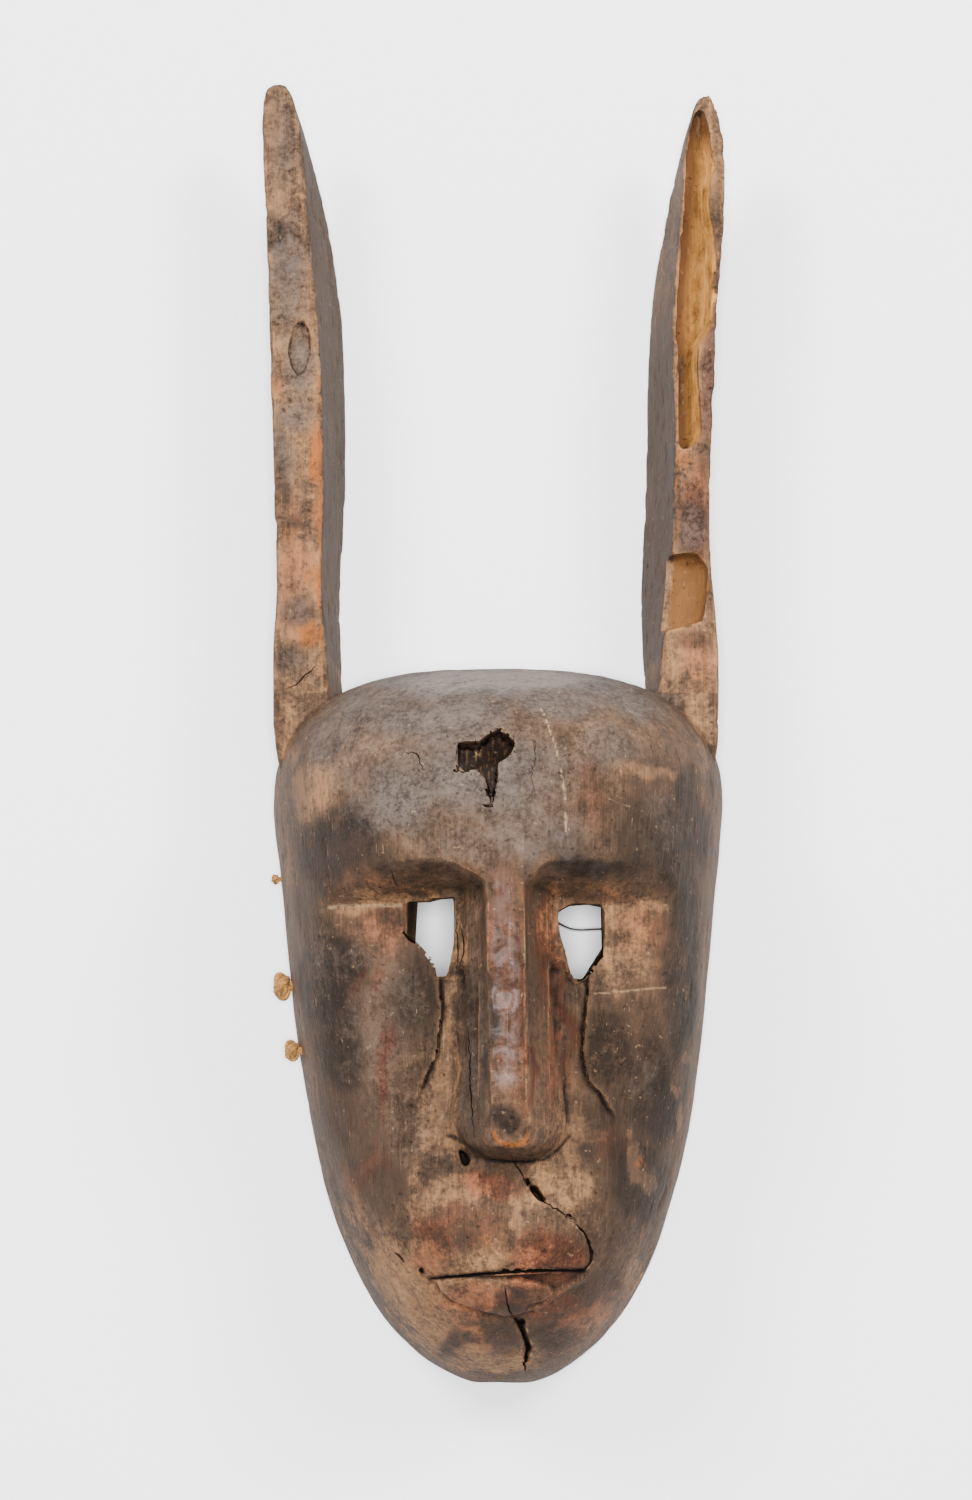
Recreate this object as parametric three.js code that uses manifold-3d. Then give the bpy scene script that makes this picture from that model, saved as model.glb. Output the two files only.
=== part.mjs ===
// Carved wooden hyena mask, lying on its back with the face up.
// Millimetres. X runs to the right across the face, Y from the chin to the ear tips, Z up out of the face.
// The drawing's zero is on the midline, halfway along the mask, in the plane of the back rim.
import * as THREE from "three";
import { mergeVertices } from "three/addons/utils/BufferGeometryUtils.js";
import Module from "manifold-3d";

const wasm = await Module();
wasm.setup();

const { clamp, lerp, mapLinear, degToRad } = THREE.MathUtils;
const list = (count, make) => Array.from({ length: count }, (_, i) => make(i));
const point = (x, y, z) => new THREE.Vector3(x, y, z);

// Runs smoothly from 0 to 1 between two places, in either direction
const ease = (from, to, at) => THREE.MathUtils.smoothstep((at - from) / (to - from), 0, 1);

// The head is a long dome, widest at the forehead and drawn in to the chin
const head = {
  chinY: -257,
  wideY: -25,
  crownY: 30,
  halfWidth: 91,
  depth: 124, // back rim to the top of the forehead
  roundness: 2.3, // of its cross-sections: 2 is an ellipse, more is squarer
  outlineTaper: 0.25,
  chinRoundness: 4.6,
  chinSharpness: 0.5,
  profileRoundness: 3, // of the forehead's fall towards the chin, seen from the side
  profileSharpness: 0.45,
  crownRoundness: 2.6,
  lean: 1.8, // the chin's drift to the right
  chinCut: { y: -255.6, size: [200, 40, 260] }, // the chin is cut flat here
  rowsY: [-190, -150, -115, -90, -74, -58, -42],
  crownRows: 12,
  across: 32,
};

// Below the brows the face is carved back to a lower dome, flat across the cheeks
const face = {
  topY: -46, // it runs on this far under the brow
  share: 0.75, // its depth at the eyes, as a share of the head's
  chinShare: 1.04, // the muzzle rises until it runs out into the head
  riseFromY: -150,
  riseToY: -234,
  eyeSquareness: 4,
  chinSquareness: 2.6,
  squareFromY: -75,
  squareToY: -150,
  blend: 10, // the cheeks run into the sides over about this depth
  blendFromY: -70,
  blendToY: -110,
  underBrowY: -68, // above this it keeps inside the head
  underBrowSize: 0.97,
  spread: 2.8, // crowds the points of a row towards the sides
  rows: 26,
  across: 34,
};

// The hollow for the wearer's face
const hollow = {
  sideWall: 11,
  faceWall: 13,
  foreheadWall: 19,
  chinY: -242,
  deepY: -60,
  crownY: 9,
  roundness: 2.6,
  foreheadFromY: -68, // the wall thickens from the face's to the forehead's between these
  foreheadToY: -30,
  endDepth: { power: 5, sharpness: 0.42 }, // how the depth and the width close towards both ends
  endWidth: { power: 6, sharpness: 0.5 },
  chinRows: 15,
  crownRows: 10,
  across: 22,
};

// The back rim rises a little along both sides
const rimArch = { fromY: -225, toY: -5, rise: 6, reach: 120, steps: 20 };

// Cuts through the back plane start this far behind it
const behind = 10;

// Clearance kept between touching pieces
const gap = 0.3;

// Turns a closed geometry into a solid that can be joined and cut
function solid(geometry) {
  const bare = geometry.clone();
  bare.deleteAttribute("normal");
  bare.deleteAttribute("uv");
  const merged = mergeVertices(bare, 1e-3);
  const corners = Array.from(merged.index.array);
  const triangles = list(corners.length / 3, (i) => corners.slice(3 * i, 3 * i + 3))
    .filter(([a, b, c]) => a !== b && b !== c && a !== c);
  const build = (faces) => new wasm.Manifold(new wasm.Mesh({
    numProp: 3,
    vertProperties: merged.attributes.position.array,
    triVerts: new Uint32Array(faces.flat()),
  }));
  const made = build(triangles);
  return made.volume() > 0 ? made : build(triangles.map(([a, b, c]) => [a, c, b]));
}

function geometryOf(made) {
  const mesh = made.getMesh();
  const geometry = new THREE.BufferGeometry();
  geometry.setAttribute("position", new THREE.BufferAttribute(mesh.vertProperties, 3));
  geometry.setIndex(new THREE.BufferAttribute(mesh.triVerts, 1));
  geometry.computeVertexNormals();
  return geometry;
}

// A skin through rings with equal numbers of points, closed at both ends by the triangles given for them
function skin(rings, caps, extraPoints = []) {
  const across = rings[0].length;
  const faces = [];
  for (let s = 0; s + 1 < rings.length; s += 1) {
    for (let i = 0; i < across; i += 1) {
      const j = (i + 1) % across;
      const [a, b, c, d] = [s * across + i, s * across + j, (s + 1) * across + i, (s + 1) * across + j];
      faces.push(a, b, d, a, d, c);
    }
  }
  const geometry = new THREE.BufferGeometry().setFromPoints([...rings.flat(), ...extraPoints]);
  geometry.setIndex([...faces, ...caps.flat()]);
  return solid(geometry);
}

// A body through rounded sections, with a fan over each end
function loft(rings) {
  const across = rings[0].length;
  const ends = [0, rings.length - 1];
  const middles = ends.map((end) => rings[end]
    .reduce((sum, p) => sum.add(p), point(0, 0, 0)).divideScalar(across));
  const caps = ends.map((end, e) => list(across, (i) => {
    const [a, b] = [end * across + i, end * across + ((i + 1) % across)];
    const middle = rings.length * across + e;
    return e === 0 ? [b, a, middle] : [a, b, middle];
  }).flat());
  return skin(rings, caps, middles);
}

// A body between two flat outlines of any shape, seen along Z; heights may change along an outline
function prism(lowOutline, highOutline, lowZ, highZ) {
  const { area, triangulateShape } = THREE.ShapeUtils;
  const ring = (outline, z) => outline.map(([x, y]) => point(x, y, z(x, y)));
  const cap = (outline) => {
    const flat = outline.map(([x, y]) => new THREE.Vector2(x, y));
    const sameTurn = (corners) => area(corners.map((i) => flat[i])) * area(flat) > 0;
    return triangulateShape(flat, []).map(([a, b, c]) => (sameTurn([a, b, c]) ? [a, b, c] : [c, b, a]));
  };
  const low = cap(lowOutline).map(([a, b, c]) => [c, b, a]);
  const high = cap(highOutline).map((corners) => corners.map((i) => i + lowOutline.length));
  return skin([ring(lowOutline, lowZ), ring(highOutline, highZ)], [low.flat(), high.flat()]);
}

function halfWidthAt(y) {
  const down = clamp((head.wideY - y) / (head.wideY - head.chinY), 0, 1);
  const up = clamp((y - head.wideY) / (head.crownY - head.wideY), 0, 1);
  const chinCurve = (1 - head.outlineTaper * down) * (1 - down ** head.chinRoundness) ** head.chinSharpness;
  const crownCurve = (1 - up ** head.crownRoundness) ** (1 / head.crownRoundness);
  return head.halfWidth * chinCurve * crownCurve;
}

function depthAt(y) {
  const down = clamp((head.wideY - y) / (head.wideY - head.chinY), 0, 1);
  const up = clamp((y - head.wideY) / (head.crownY - head.wideY), 0, 1);
  return head.depth * (1 - down ** head.profileRoundness) ** head.profileSharpness * Math.sqrt(1 - up * up);
}

function faceDepthAt(y) {
  return depthAt(y) * lerp(face.share, face.chinShare, ease(face.riseFromY, face.riseToY, y));
}

function middleAt(y) {
  return head.lean * Math.max(0, (head.wideY - y) / (head.wideY - head.chinY));
}

// Height of a dome of the given depth and squareness over a point of the back plane
function domeHeight(x, y, depth, squareness) {
  const across = clamp(Math.abs(x - middleAt(y)) / halfWidthAt(y), 0, 1);
  return depth * (1 - across ** squareness) ** (1 / squareness);
}

function headHeight(x, y) {
  return domeHeight(x, y, depthAt(y), head.roundness);
}

// The face below the brows: the lower of its own flat dome and the head's, blended where they meet
function faceHeight(x, y) {
  const squareness = lerp(face.eyeSquareness, face.chinSquareness, ease(face.squareFromY, face.squareToY, y));
  const flat = domeHeight(x, y, faceDepthAt(y), squareness);
  const round = headHeight(x, y);
  const lower = Math.min(flat, round);
  const blend = face.blend * ease(face.blendFromY, face.blendToY, y) + 1;
  const reach = Math.min(blend, 0.4 * lower + 0.01); // less near the rim, so that it still ends at the back plane
  return Math.max(lower - Math.max(reach - Math.abs(flat - round), 0) ** 2 / (4 * reach), 0);
}

function surfaceHeight(x, y) {
  return y > brow.lowestY ? headHeight(x, y) : faceHeight(x, y);
}

// A half oval of places across the dome at one y, from the left foot to the right
function acrossAt(middle, halfWidth, squareness, count) {
  return list(count + 1, (i) => {
    const angle = Math.PI * (1 - i / count);
    const [c, s] = [Math.cos(angle), Math.max(0, Math.sin(angle))];
    const share = Math.sign(c) * Math.abs(c) ** (2 / squareness);
    return { x: middle + halfWidth * share, rise: s ** (2 / squareness) };
  });
}

// Places along Y that crowd towards an end, where the outline turns
function crowdTo(endY, fromY, count) {
  return list(count, (i) => fromY + (endY - fromY) * Math.sin((Math.PI / 2) * ((i + 1) / count)));
}

function headDome() {
  const rows = [...head.rowsY, head.wideY, ...crowdTo(head.crownY, head.wideY, head.crownRows)];
  return loft(rows.map((y) => acrossAt(middleAt(y), halfWidthAt(y), head.roundness, head.across)
    .map(({ x, rise }) => point(x, y, depthAt(y) * rise))));
}

function lowerFace() {
  const rows = [face.topY, face.underBrowY, ...crowdTo(head.chinY, face.underBrowY, face.rows)];
  return loft(rows.map((y) => {
    const size = y > face.underBrowY ? face.underBrowSize : 1;
    return acrossAt(middleAt(y), halfWidthAt(y), face.spread, face.across)
      .map(({ x }) => point(size * x, y, size * faceHeight(x, y)));
  }));
}

// The brow overhangs the face with a steep soffit
const brow = {
  lowestY: -58,
  backY: 60,
  reach: 96,
  step: 6,
  minDepth: 6,
  headroom: 25, // the soffit's slope goes on this far above the edge
  footZ: -5,
  // x, then y of the crease on the cheeks and of the edge on the forehead
  line: [
    [-96, -78, -73], [-66, -75.8, -69.6], [-54, -75, -64.8], [-44, -74.4, -62.8], [-30, -72.6, -62.2],
    [-19, -71, -63.6], [-10, -71, -68], [0, -74, -73], [9, -75, -74], [16, -73, -65.4], [24, -72.8, -62],
    [39, -75, -60.6], [52, -74, -60.4], [64, -71.4, -61.4], [74, -69, -64], [96, -66, -64],
  ],
};

// Each section of the brow is cut across X, up the soffit from the crease to the edge
function browBlock() {
  const rows = brow.line;
  const line = new THREE.CubicInterpolant(rows.map((row) => row[0]), rows.flatMap((row) => row.slice(1)), 2);
  const count = (2 * brow.reach) / brow.step;
  return loft(list(count + 1, (i) => {
    const x = lerp(-brow.reach, brow.reach, i / count);
    const [creaseY, edgeY] = line.evaluate(x);
    const creaseZ = faceHeight(x, creaseY);
    const edgeZ = Math.max(headHeight(x, edgeY), creaseZ + brow.minDepth);
    const topZ = edgeZ + brow.headroom;
    const topY = mapLinear(topZ, creaseZ, edgeZ, creaseY, edgeY);
    return [point(x, creaseY, brow.footZ), point(x, creaseY, creaseZ), point(x, edgeY, edgeZ),
      point(x, topY, topZ), point(x, brow.backY, topZ), point(x, brow.backY, brow.footZ)];
  }));
}

// The nose: a straight ridge with steep sides that flare at the foot, and a rounded end above the lip
const nose = {
  rootY: -45,
  endY: -175,
  rowsY: [-45, -75, -105, -135],
  cornerTurns: [20, 45, 70].map(degToRad),
  // height; middle and half width at the root and at the end; how far the end stands back; its corner
  levels: [
    { z: 58, middle: [3.4, 3.8], half: [21, 24], back: -1.5, corner: 20 },
    { z: 86, middle: [3.4, 3.8], half: [20.5, 23.5], back: -0.5, corner: 19 },
    { z: 98, middle: [2.4, 4.2], half: [14.6, 16.4], back: 1.5, corner: 12 },
    { z: 108, middle: [1.6, 4.8], half: [8.8, 8.4], back: 3, corner: 6 },
    { z: 150, middle: [1.2, 5.2], half: [5.2, 4.2], back: 8, corner: 4 },
  ],
};

function noseBlock() {
  return loft(nose.levels.map(({ z, middle, half, back, corner }) => {
    const along = ([root, end], y) => mapLinear(y, nose.rootY, nose.endY, root, end);
    const endY = nose.endY + back;
    const turnX = Math.min(0.9 * corner, 0.8 * half[1]);
    const side = (sign) => [
      ...nose.rowsY.map((y) => point(along(middle, y) + sign * along(half, y), y, z)),
      ...nose.cornerTurns.map((angle) => point(
        middle[1] + sign * (half[1] - turnX * (1 - Math.cos(angle))), endY + corner * (1 - Math.sin(angle)), z)),
      point(middle[1] + sign * (half[1] - turnX), endY, z),
    ];
    return [...side(-1), ...side(1).reverse()];
  }));
}

// The lips: low swellings on the face that end in a step at the mouth, which runs a little uphill
const mouth = {
  leftX: -26,
  rightX: 34.5,
  leftY: -221.2,
  rightY: -217.6,
  steps: 12,
  sink: 0.6, // the rims of the swellings run out just under the surface
  footDepth: 14, // how far down into the face they go
  swellPower: 0.7,
  slitWidth: 1.2,
  slitBite: 0.1, // into the upper lip's end face
  slitFlare: 0.8,
  slitDepth: 2.6,
  slitHeight: 9, // of the cutting body, over the surface
  upper: { startY: -183, startX: [-12, 11], rise: 4, rows: 8 },
  lower: { endY: -233.5, endX: [-10, 9], startX: [-24, 24], rise: 2.4, rows: 6 },
};

function mouthLineY(x) {
  return mapLinear(x, mouth.leftX, mouth.rightX, mouth.leftY, mouth.rightY);
}

function lipRow([left, right], yAt, rise) {
  const top = list(mouth.steps + 1, (i) => {
    const x = lerp(left, right, i / mouth.steps);
    const swell = Math.sin(Math.PI * (i / mouth.steps)) ** mouth.swellPower;
    return point(x, yAt(x), faceHeight(x, yAt(x)) + rise * swell - mouth.sink);
  });
  const foot = [right, left].map((x) => point(x, yAt(x), faceHeight(x, yAt(x)) - mouth.footDepth));
  return [...top, ...foot];
}

function upperLip() {
  const { startY, startX, rise, rows } = mouth.upper;
  return loft(list(rows + 1, (i) => {
    const t = i / rows;
    const ends = [mouth.leftX, mouth.rightX].map((x, k) => lerp(startX[k], x, Math.sqrt(t)));
    return lipRow(ends, (x) => lerp(startY, mouthLineY(x), t), rise * t * (2 - t));
  }));
}

function lowerLip() {
  const { endY, endX, startX, rise, rows } = mouth.lower;
  return loft(list(rows + 1, (i) => {
    const t = i / rows;
    const ends = startX.map((x, k) => lerp(x, endX[k], t * t));
    const top = (x) => mouthLineY(x) - mouth.slitWidth;
    return lipRow(ends, (x) => lerp(top(x), endY, t), rise * Math.sin(Math.PI * lerp(0.3, 1, t)) ** 0.6);
  }));
}

function mouthSlit() {
  return loft(list(mouth.steps + 1, (i) => {
    const t = i / mouth.steps;
    const x = lerp(mouth.leftX, mouth.rightX, t);
    const y = mouthLineY(x) + mouth.slitBite;
    const z = faceHeight(x, y);
    const floorZ = z - mouth.slitDepth * Math.sin(Math.PI * lerp(0.04, 0.96, t)) ** 0.5;
    const topZ = z + mouth.slitHeight;
    return [point(x, y, topZ), point(x, y, floorZ), point(x, y - mouth.slitFlare, floorZ),
      point(x, y - mouth.slitWidth - mouth.slitFlare, topZ)];
  }));
}

// Eye holes: broken, roughly square openings beside the nose, each with a front outline and a back outline
const eyes = {
  frontZ: 98,
  backZ: 64,
  left: {
    front: [[-37, -75.6], [-31, -76.2], [-17.2, -73.4], [-17.2, -92], [-20, -104.6], [-24.4, -104.6],
      [-25.2, -98.8], [-31.2, -91.4], [-36.8, -88]],
    back: [[-29.5, -71], [-25, -71], [-17.2, -69.6], [-17.2, -91], [-20, -103], [-23.6, -103],
      [-24.4, -97.4], [-28.4, -90.4], [-30, -86]],
  },
  right: {
    front: [[23.4, -79.4], [28.4, -76.4], [39.4, -77], [41, -80], [41, -89.5], [39.2, -96], [36.2, -101],
      [31.8, -105.2], [29, -105.2], [27.6, -99.6], [24.8, -89.4]],
    back: [[22.6, -76], [28.4, -72], [39.4, -73], [41, -77], [41, -88], [39.2, -94.4], [35.8, -99.4],
      [31.8, -103.6], [29, -103.6], [27, -98.2], [23.6, -88]],
  },
};

function eyeHole({ front, back }) {
  return prism(back, front, () => eyes.backZ, () => eyes.frontZ);
}

// Blind breaks in the wood: depth under the surface, and outline
const breakHeight = 8; // of the cutting bodies, over the surface
const breaks = [
  { // forehead: a square notch, a torn hollow and a slit running down
    depth: 14,
    outline: [[-15.6, -17.4], [-7.2, -17.2], [-4.6, -14.6], [-0.6, -12.4], [2.2, -13.6], [6.4, -17.5],
      [3.7, -23], [-0.8, -25.5], [-0.6, -32], [-3.3, -42.4], [-4.8, -31], [-9, -27.6], [-15.4, -28.6]],
  },
  { // beside the nose
    depth: 9,
    outline: [[-15.8, -170.2], [-13, -171.4], [-10.8, -174.8], [-11.4, -177.4], [-14, -177.4]],
  },
  { // in the crack above the lip
    depth: 9,
    outline: [[11.2, -184.2], [14.8, -185.2], [18.2, -190], [18, -192], [15.4, -191], [12.4, -187.6]],
  },
  { // left of the mouth
    depth: 7,
    outline: [[-31, -215.4], [-29, -215.2], [-28.2, -217.6], [-30, -218.2]],
  },
  { // chin
    depth: 9,
    outline: [[5.4, -234], [10.5, -234.5], [10, -237.8], [11.7, -241.2], [12.8, -244.8], [11.7, -248.6],
      [11.2, -251.2], [9.9, -251.2], [9.9, -248.2], [10.8, -244.8], [9.9, -241.6], [8.2, -238.4]],
  },
];

function breakCut({ depth, outline }) {
  return prism(outline, outline,
    (x, y) => surfaceHeight(x, y) - depth, (x, y) => surfaceHeight(x, y) + breakHeight);
}

// Ears: tall blades, narrow in front and deep from front to back, pointed where the back curves up
const ears = {
  frontZ: 48, // at the head
  frontFall: 0.014, // the front leans back by this much of the length
  backZ: 2,
  sink: { front: 14, back: 12 }, // how far the roots draw in inside the head
  turnY: 148, // the back starts to curve forward
  tipDepth: 5, // front to back, at the tip
  turnPower: 1.9,
  step: 12,
  corner: 1.3, // chamfer of the long edges
  backShare: 0.84, // the back is a little thinner than the front
  // y, then x of the outer face, the inner front edge and the inner back edge
  left: [
    [-32, -82, -66, -62], [-14, -88.4, -65.2, -61], [24, -90.2, -68.4, -63.2], [62, -89.6, -70.8, -64],
    [106, -90.8, -70.6, -62.4], [164, -93, -72.8, -62.8], [214, -95.2, -77.8, -68.4],
    [248, -96.4, -80.6, -78], [264, -96, -84, -83.4], [269.4, -93.2, -87, -86.8],
  ],
  right: [
    [-32, 81, 65, 61], [-14, 87, 64, 60.4], [24, 88.4, 65, 60], [48, 87.6, 67.6, 58], [72, 85.8, 70, 58.2],
    [119, 86.4, 72, 60.8], [172, 89.4, 71, 61.8], [218, 92.8, 75, 68.6], [246, 92.2, 76.6, 75.4],
    [259, 89.8, 79.8, 79.4], [264.6, 86.6, 82.6, 82.4],
  ],
};

function earBlade(rows) {
  const table = new THREE.CubicInterpolant(rows.map((row) => row[0]), rows.flatMap((row) => row.slice(1)), 3);
  const [firstY, roundY, tipY] = [rows[0][0], rows[rows.length - 2][0], rows[rows.length - 1][0]];
  const count = Math.round((roundY - firstY) / ears.step);
  const along = [...list(count + 1, (i) => lerp(firstY, roundY, i / count)), lerp(roundY, tipY, 0.65), tipY];
  return loft(along.map((y) => {
    const [outer, innerFront, innerBack] = Array.from(table.evaluate(y));
    const sinking = ease(0, firstY, y); // below the crown the ear sinks into the head
    const front = ears.frontZ - ears.frontFall * y - ears.sink.front * sinking;
    const turn = clamp((y - ears.turnY) / (tipY - ears.turnY), 0, 1) ** ears.turnPower;
    const back = lerp(ears.backZ, front - ears.tipDepth, turn) + ears.sink.back * sinking;
    const outerBack = innerBack + (outer - innerFront) * ears.backShare;
    const corners = [point(outer, y, front), point(innerFront, y, front), point(innerBack, y, back),
      point(outerBack, y, back)];
    const chamfer = Math.min(ears.corner, 0.3 * Math.abs(outer - innerFront), 0.2 * (front - back));
    return corners.flatMap((corner, k) => [corners[(k + 3) % 4], corners[(k + 1) % 4]]
      .map((other) => other.clone().sub(corner).setLength(chamfer).add(corner)));
  }));
}

// Hollows that insects and wear have left in the fronts of the ears: y, left x, right x and floor z
const earWear = {
  topZ: 60,
  rimZ: 45,
  steps: 8,
  bowlPower: 0.7, // under 1 for a flat floor and steep sides
  lean: 0.25, // the deep one leans inwards with the ear
  slot: [
    [116, 73.2, 77, 39], [122, 72.6, 82.2, 36], [150, 72.6, 80.8, 33], [159, 72.6, 81.4, 32],
    [167, 72.4, 86, 31], [204, 74.8, 88, 30], [219, 76.4, 85.8, 32], [236, 77, 87.6, 34],
    [250, 79, 86.4, 36], [258, 81.2, 84, 39],
  ],
  patch: [
    [42, 62, 70.5, 41], [45, 60, 82, 40], [56, 60, 83.4, 39], [67, 60, 84, 38.4], [71.5, 62, 81, 38.4],
    [73, 78, 81.4, 41],
  ],
  gouge: [
    [147, -81.4, -79, 43.5], [150, -83.4, -77, 42.2], [158, -84.8, -75.6, 41.4], [165, -82.6, -76.6, 42.4],
    [169, -80.4, -78.4, 43.5],
  ],
};

function scoop(rows, lean) {
  const { topZ, rimZ, steps, bowlPower } = earWear;
  return loft(rows.map(([y, left, right, floorZ]) => {
    const bowl = list(steps + 1, (i) => {
      const angle = Math.PI * (i / steps);
      const drop = Math.sin(angle) ** bowlPower;
      const x = (left + right) / 2 - ((right - left) / 2) * Math.cos(angle);
      return point(x - lean * drop * (rimZ - floorZ), y, lerp(rimZ, floorZ, drop));
    });
    return [...bowl, point(right, y, topZ), point(left, y, topZ)];
  }));
}

function wearerHollow() {
  const { chinY, deepY, crownY, sideWall, faceWall, foreheadWall, endDepth, endWidth } = hollow;
  const rows = [...crowdTo(chinY, deepY, hollow.chinRows).reverse(), deepY,
    ...crowdTo(crownY, deepY, hollow.crownRows)];
  return loft(rows.map((y) => {
    const end = clamp(y < deepY ? (deepY - y) / (deepY - chinY) : (y - deepY) / (crownY - deepY), 0, 1);
    const close = ({ power, sharpness }) => (1 - end ** power) ** sharpness;
    const depth = lerp(faceDepthAt(y) - faceWall, depthAt(y) - foreheadWall,
      ease(hollow.foreheadFromY, hollow.foreheadToY, y));
    const height = Math.max(depth, 0) * close(endDepth);
    const halfWidth = Math.max(halfWidthAt(y) - sideWall, 0) * close(endWidth);
    const arch = acrossAt(middleAt(y), halfWidth, hollow.roundness, hollow.across)
      .map(({ x, rise }) => point(x, y, height * rise));
    return [...arch, point(arch[hollow.across].x, y, -behind), point(arch[0].x, y, -behind)];
  }));
}

// A shallow arc through both sides of the rim
function rimArchCut() {
  const halfChord = (rimArch.toY - rimArch.fromY) / 2;
  const radius = (halfChord ** 2 + rimArch.rise ** 2) / (2 * rimArch.rise);
  const spread = Math.asin(halfChord / radius);
  const middleY = (rimArch.fromY + rimArch.toY) / 2;
  const side = (x) => [
    ...list(rimArch.steps + 1, (i) => {
      const angle = lerp(-spread, spread, i / rimArch.steps);
      return point(x, middleY + radius * Math.sin(angle), radius * Math.cos(angle) - radius + rimArch.rise);
    }),
    point(x, rimArch.toY, -behind), point(x, rimArch.fromY, -behind),
  ];
  return loft([side(-rimArch.reach), side(rimArch.reach)]);
}

// Cords knotted through the left wall: place and radius of each, and its knot's half sizes
const cords = {
  standOff: 0.4, // between a knot and the wall
  tail: 9, // left inside the hollow
  holeRun: 10, // how far the holes' cutting bodies go past the wall
  sides: 10,
  rows: [
    { name: "cord_knot_upper", y: -55, z: 18, radius: 1.4, knot: [1.8, 2.4, 2.4] },
    { name: "cord_knot_middle", y: -99, z: 22, radius: 1.6, knot: [3.8, 6.4, 5] },
    { name: "cord_knot_lower", y: -125, z: 24, radius: 1.6, knot: [3.2, 5, 4.4] },
  ],
};

function leftWallX({ y, z }) {
  const share = clamp(z / depthAt(y), 0, 1);
  return middleAt(y) - halfWidthAt(y) * (1 - share ** head.roundness) ** (1 / head.roundness);
}

function rodAlongX(fromX, toX, { y, z }, radius) {
  const rod = new THREE.CylinderGeometry(radius, radius, toX - fromX, cords.sides);
  rod.rotateZ(Math.PI / 2);
  rod.translate((fromX + toX) / 2, y, z);
  return solid(rod);
}

function cordKnot(row) {
  const wallX = leftWallX(row);
  const knotX = wallX - cords.standOff - row.knot[0];
  const knot = new THREE.SphereGeometry(1, 12, 8);
  knot.scale(...row.knot);
  knot.translate(knotX, row.y, row.z);
  return solid(knot).add(rodAlongX(knotX, wallX + hollow.sideWall + cords.tail, row, row.radius));
}

function cordHole(row) {
  const wallX = leftWallX(row);
  return rodAlongX(wallX - cords.holeRun, wallX + hollow.sideWall + cords.holeRun, row, row.radius + gap);
}

// The hanging wire: iron wire across the hollow, both ends let into the walls
const wire = {
  radius: 0.4,
  sides: 8,
  steps: 46,
  holeEnd: 0.8, // how far the blind holes for its ends go past them
  holeRun: 7, // and how far back along it their cutting bodies reach
  route: [[-82, -49, 12], [-62, -51, 11.4], [-36, -54, 10.4], [-12, -58, 9.6], [8, -63, 9.4],
    [18, -67.4, 9.6], [24.6, -71.6, 9.8], [31, -74.2, 10], [42.4, -74, 10.2], [62, -73.2, 11],
    [82, -72.4, 12]],
};

function wireCurve() {
  return new THREE.CatmullRomCurve3(wire.route.map((p) => point(...p)), false, "centripetal");
}

function hangingWire() {
  const section = new THREE.Shape(list(wire.sides, (i) => {
    const angle = (2 * Math.PI * i) / wire.sides;
    return new THREE.Vector2(wire.radius * Math.cos(angle), wire.radius * Math.sin(angle));
  }));
  return new THREE.ExtrudeGeometry(section, { extrudePath: wireCurve(), steps: wire.steps });
}

function wireSocket(end) {
  const curve = wireCurve();
  const outward = curve.getTangent(end).multiplyScalar(end === 0 ? -1 : 1);
  const rod = new THREE.CylinderGeometry(wire.radius + gap, wire.radius + gap, 2 * wire.holeRun, cords.sides);
  rod.applyQuaternion(new THREE.Quaternion().setFromUnitVectors(point(0, 1, 0), outward));
  const middle = curve.getPoint(end).addScaledVector(outward, wire.holeEnd - wire.holeRun);
  rod.translate(middle.x, middle.y, middle.z);
  return solid(rod);
}

function chinBlock() {
  const { y, size } = head.chinCut;
  const block = new THREE.BoxGeometry(...size);
  block.translate(0, y - size[1] / 2, 0);
  return solid(block);
}

// One block of wood: face, forehead and nose, lips and ears, then everything cut out of it
function carvedMask() {
  const added = [headDome().intersect(browBlock().add(noseBlock())), upperLip(), lowerLip(),
    earBlade(ears.left), earBlade(ears.right)];
  const cut = [mouthSlit(), wearerHollow(), rimArchCut(), chinBlock(), eyeHole(eyes.left),
    eyeHole(eyes.right), scoop(earWear.slot, earWear.lean), scoop(earWear.patch, 0), scoop(earWear.gouge, 0),
    ...breaks.map(breakCut), ...cords.rows.map(cordHole), wireSocket(0), wireSocket(1)];
  const whole = added.reduce((wood, piece) => wood.add(piece), lowerFace());
  return cut.reduce((wood, piece) => wood.subtract(piece), whole);
}

const materials = {
  wood: new THREE.MeshStandardMaterial({ color: 0x4a382c, roughness: 0.6, metalness: 0 }),
  cord: new THREE.MeshStandardMaterial({ color: 0xa9824c, roughness: 0.9, metalness: 0 }),
  wire: new THREE.MeshStandardMaterial({ color: 0x3c3a38, roughness: 0.5, metalness: 0.8 }),
};

const object = new THREE.Group();

function place(name, geometry, material) {
  const mesh = new THREE.Mesh(geometry, material);
  mesh.name = name;
  object.add(mesh);
}

place("mask", geometryOf(carvedMask()), materials.wood);
cords.rows.forEach((row) => place(row.name, geometryOf(cordKnot(row)), materials.cord));
place("hanging_wire", hangingWire(), materials.wire);

// The part's origin is under the middle of the wood, on the surface that it lies on
const box = new THREE.Box3().setFromObject(object.getObjectByName("mask"));
const middle = box.getCenter(point(0, 0, 0));
object.position.set(-middle.x, -middle.y, -box.min.z);

export default object;
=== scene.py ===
# Carved wooden hyena mask lying on its back: dark worn patina, cracks, knotted cords and a hanging wire
import math

import bmesh
import bpy
import numpy as np
from mathutils import Matrix, Vector
from mathutils.bvhtree import BVHTree
from mathutils.kdtree import KDTree


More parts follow.
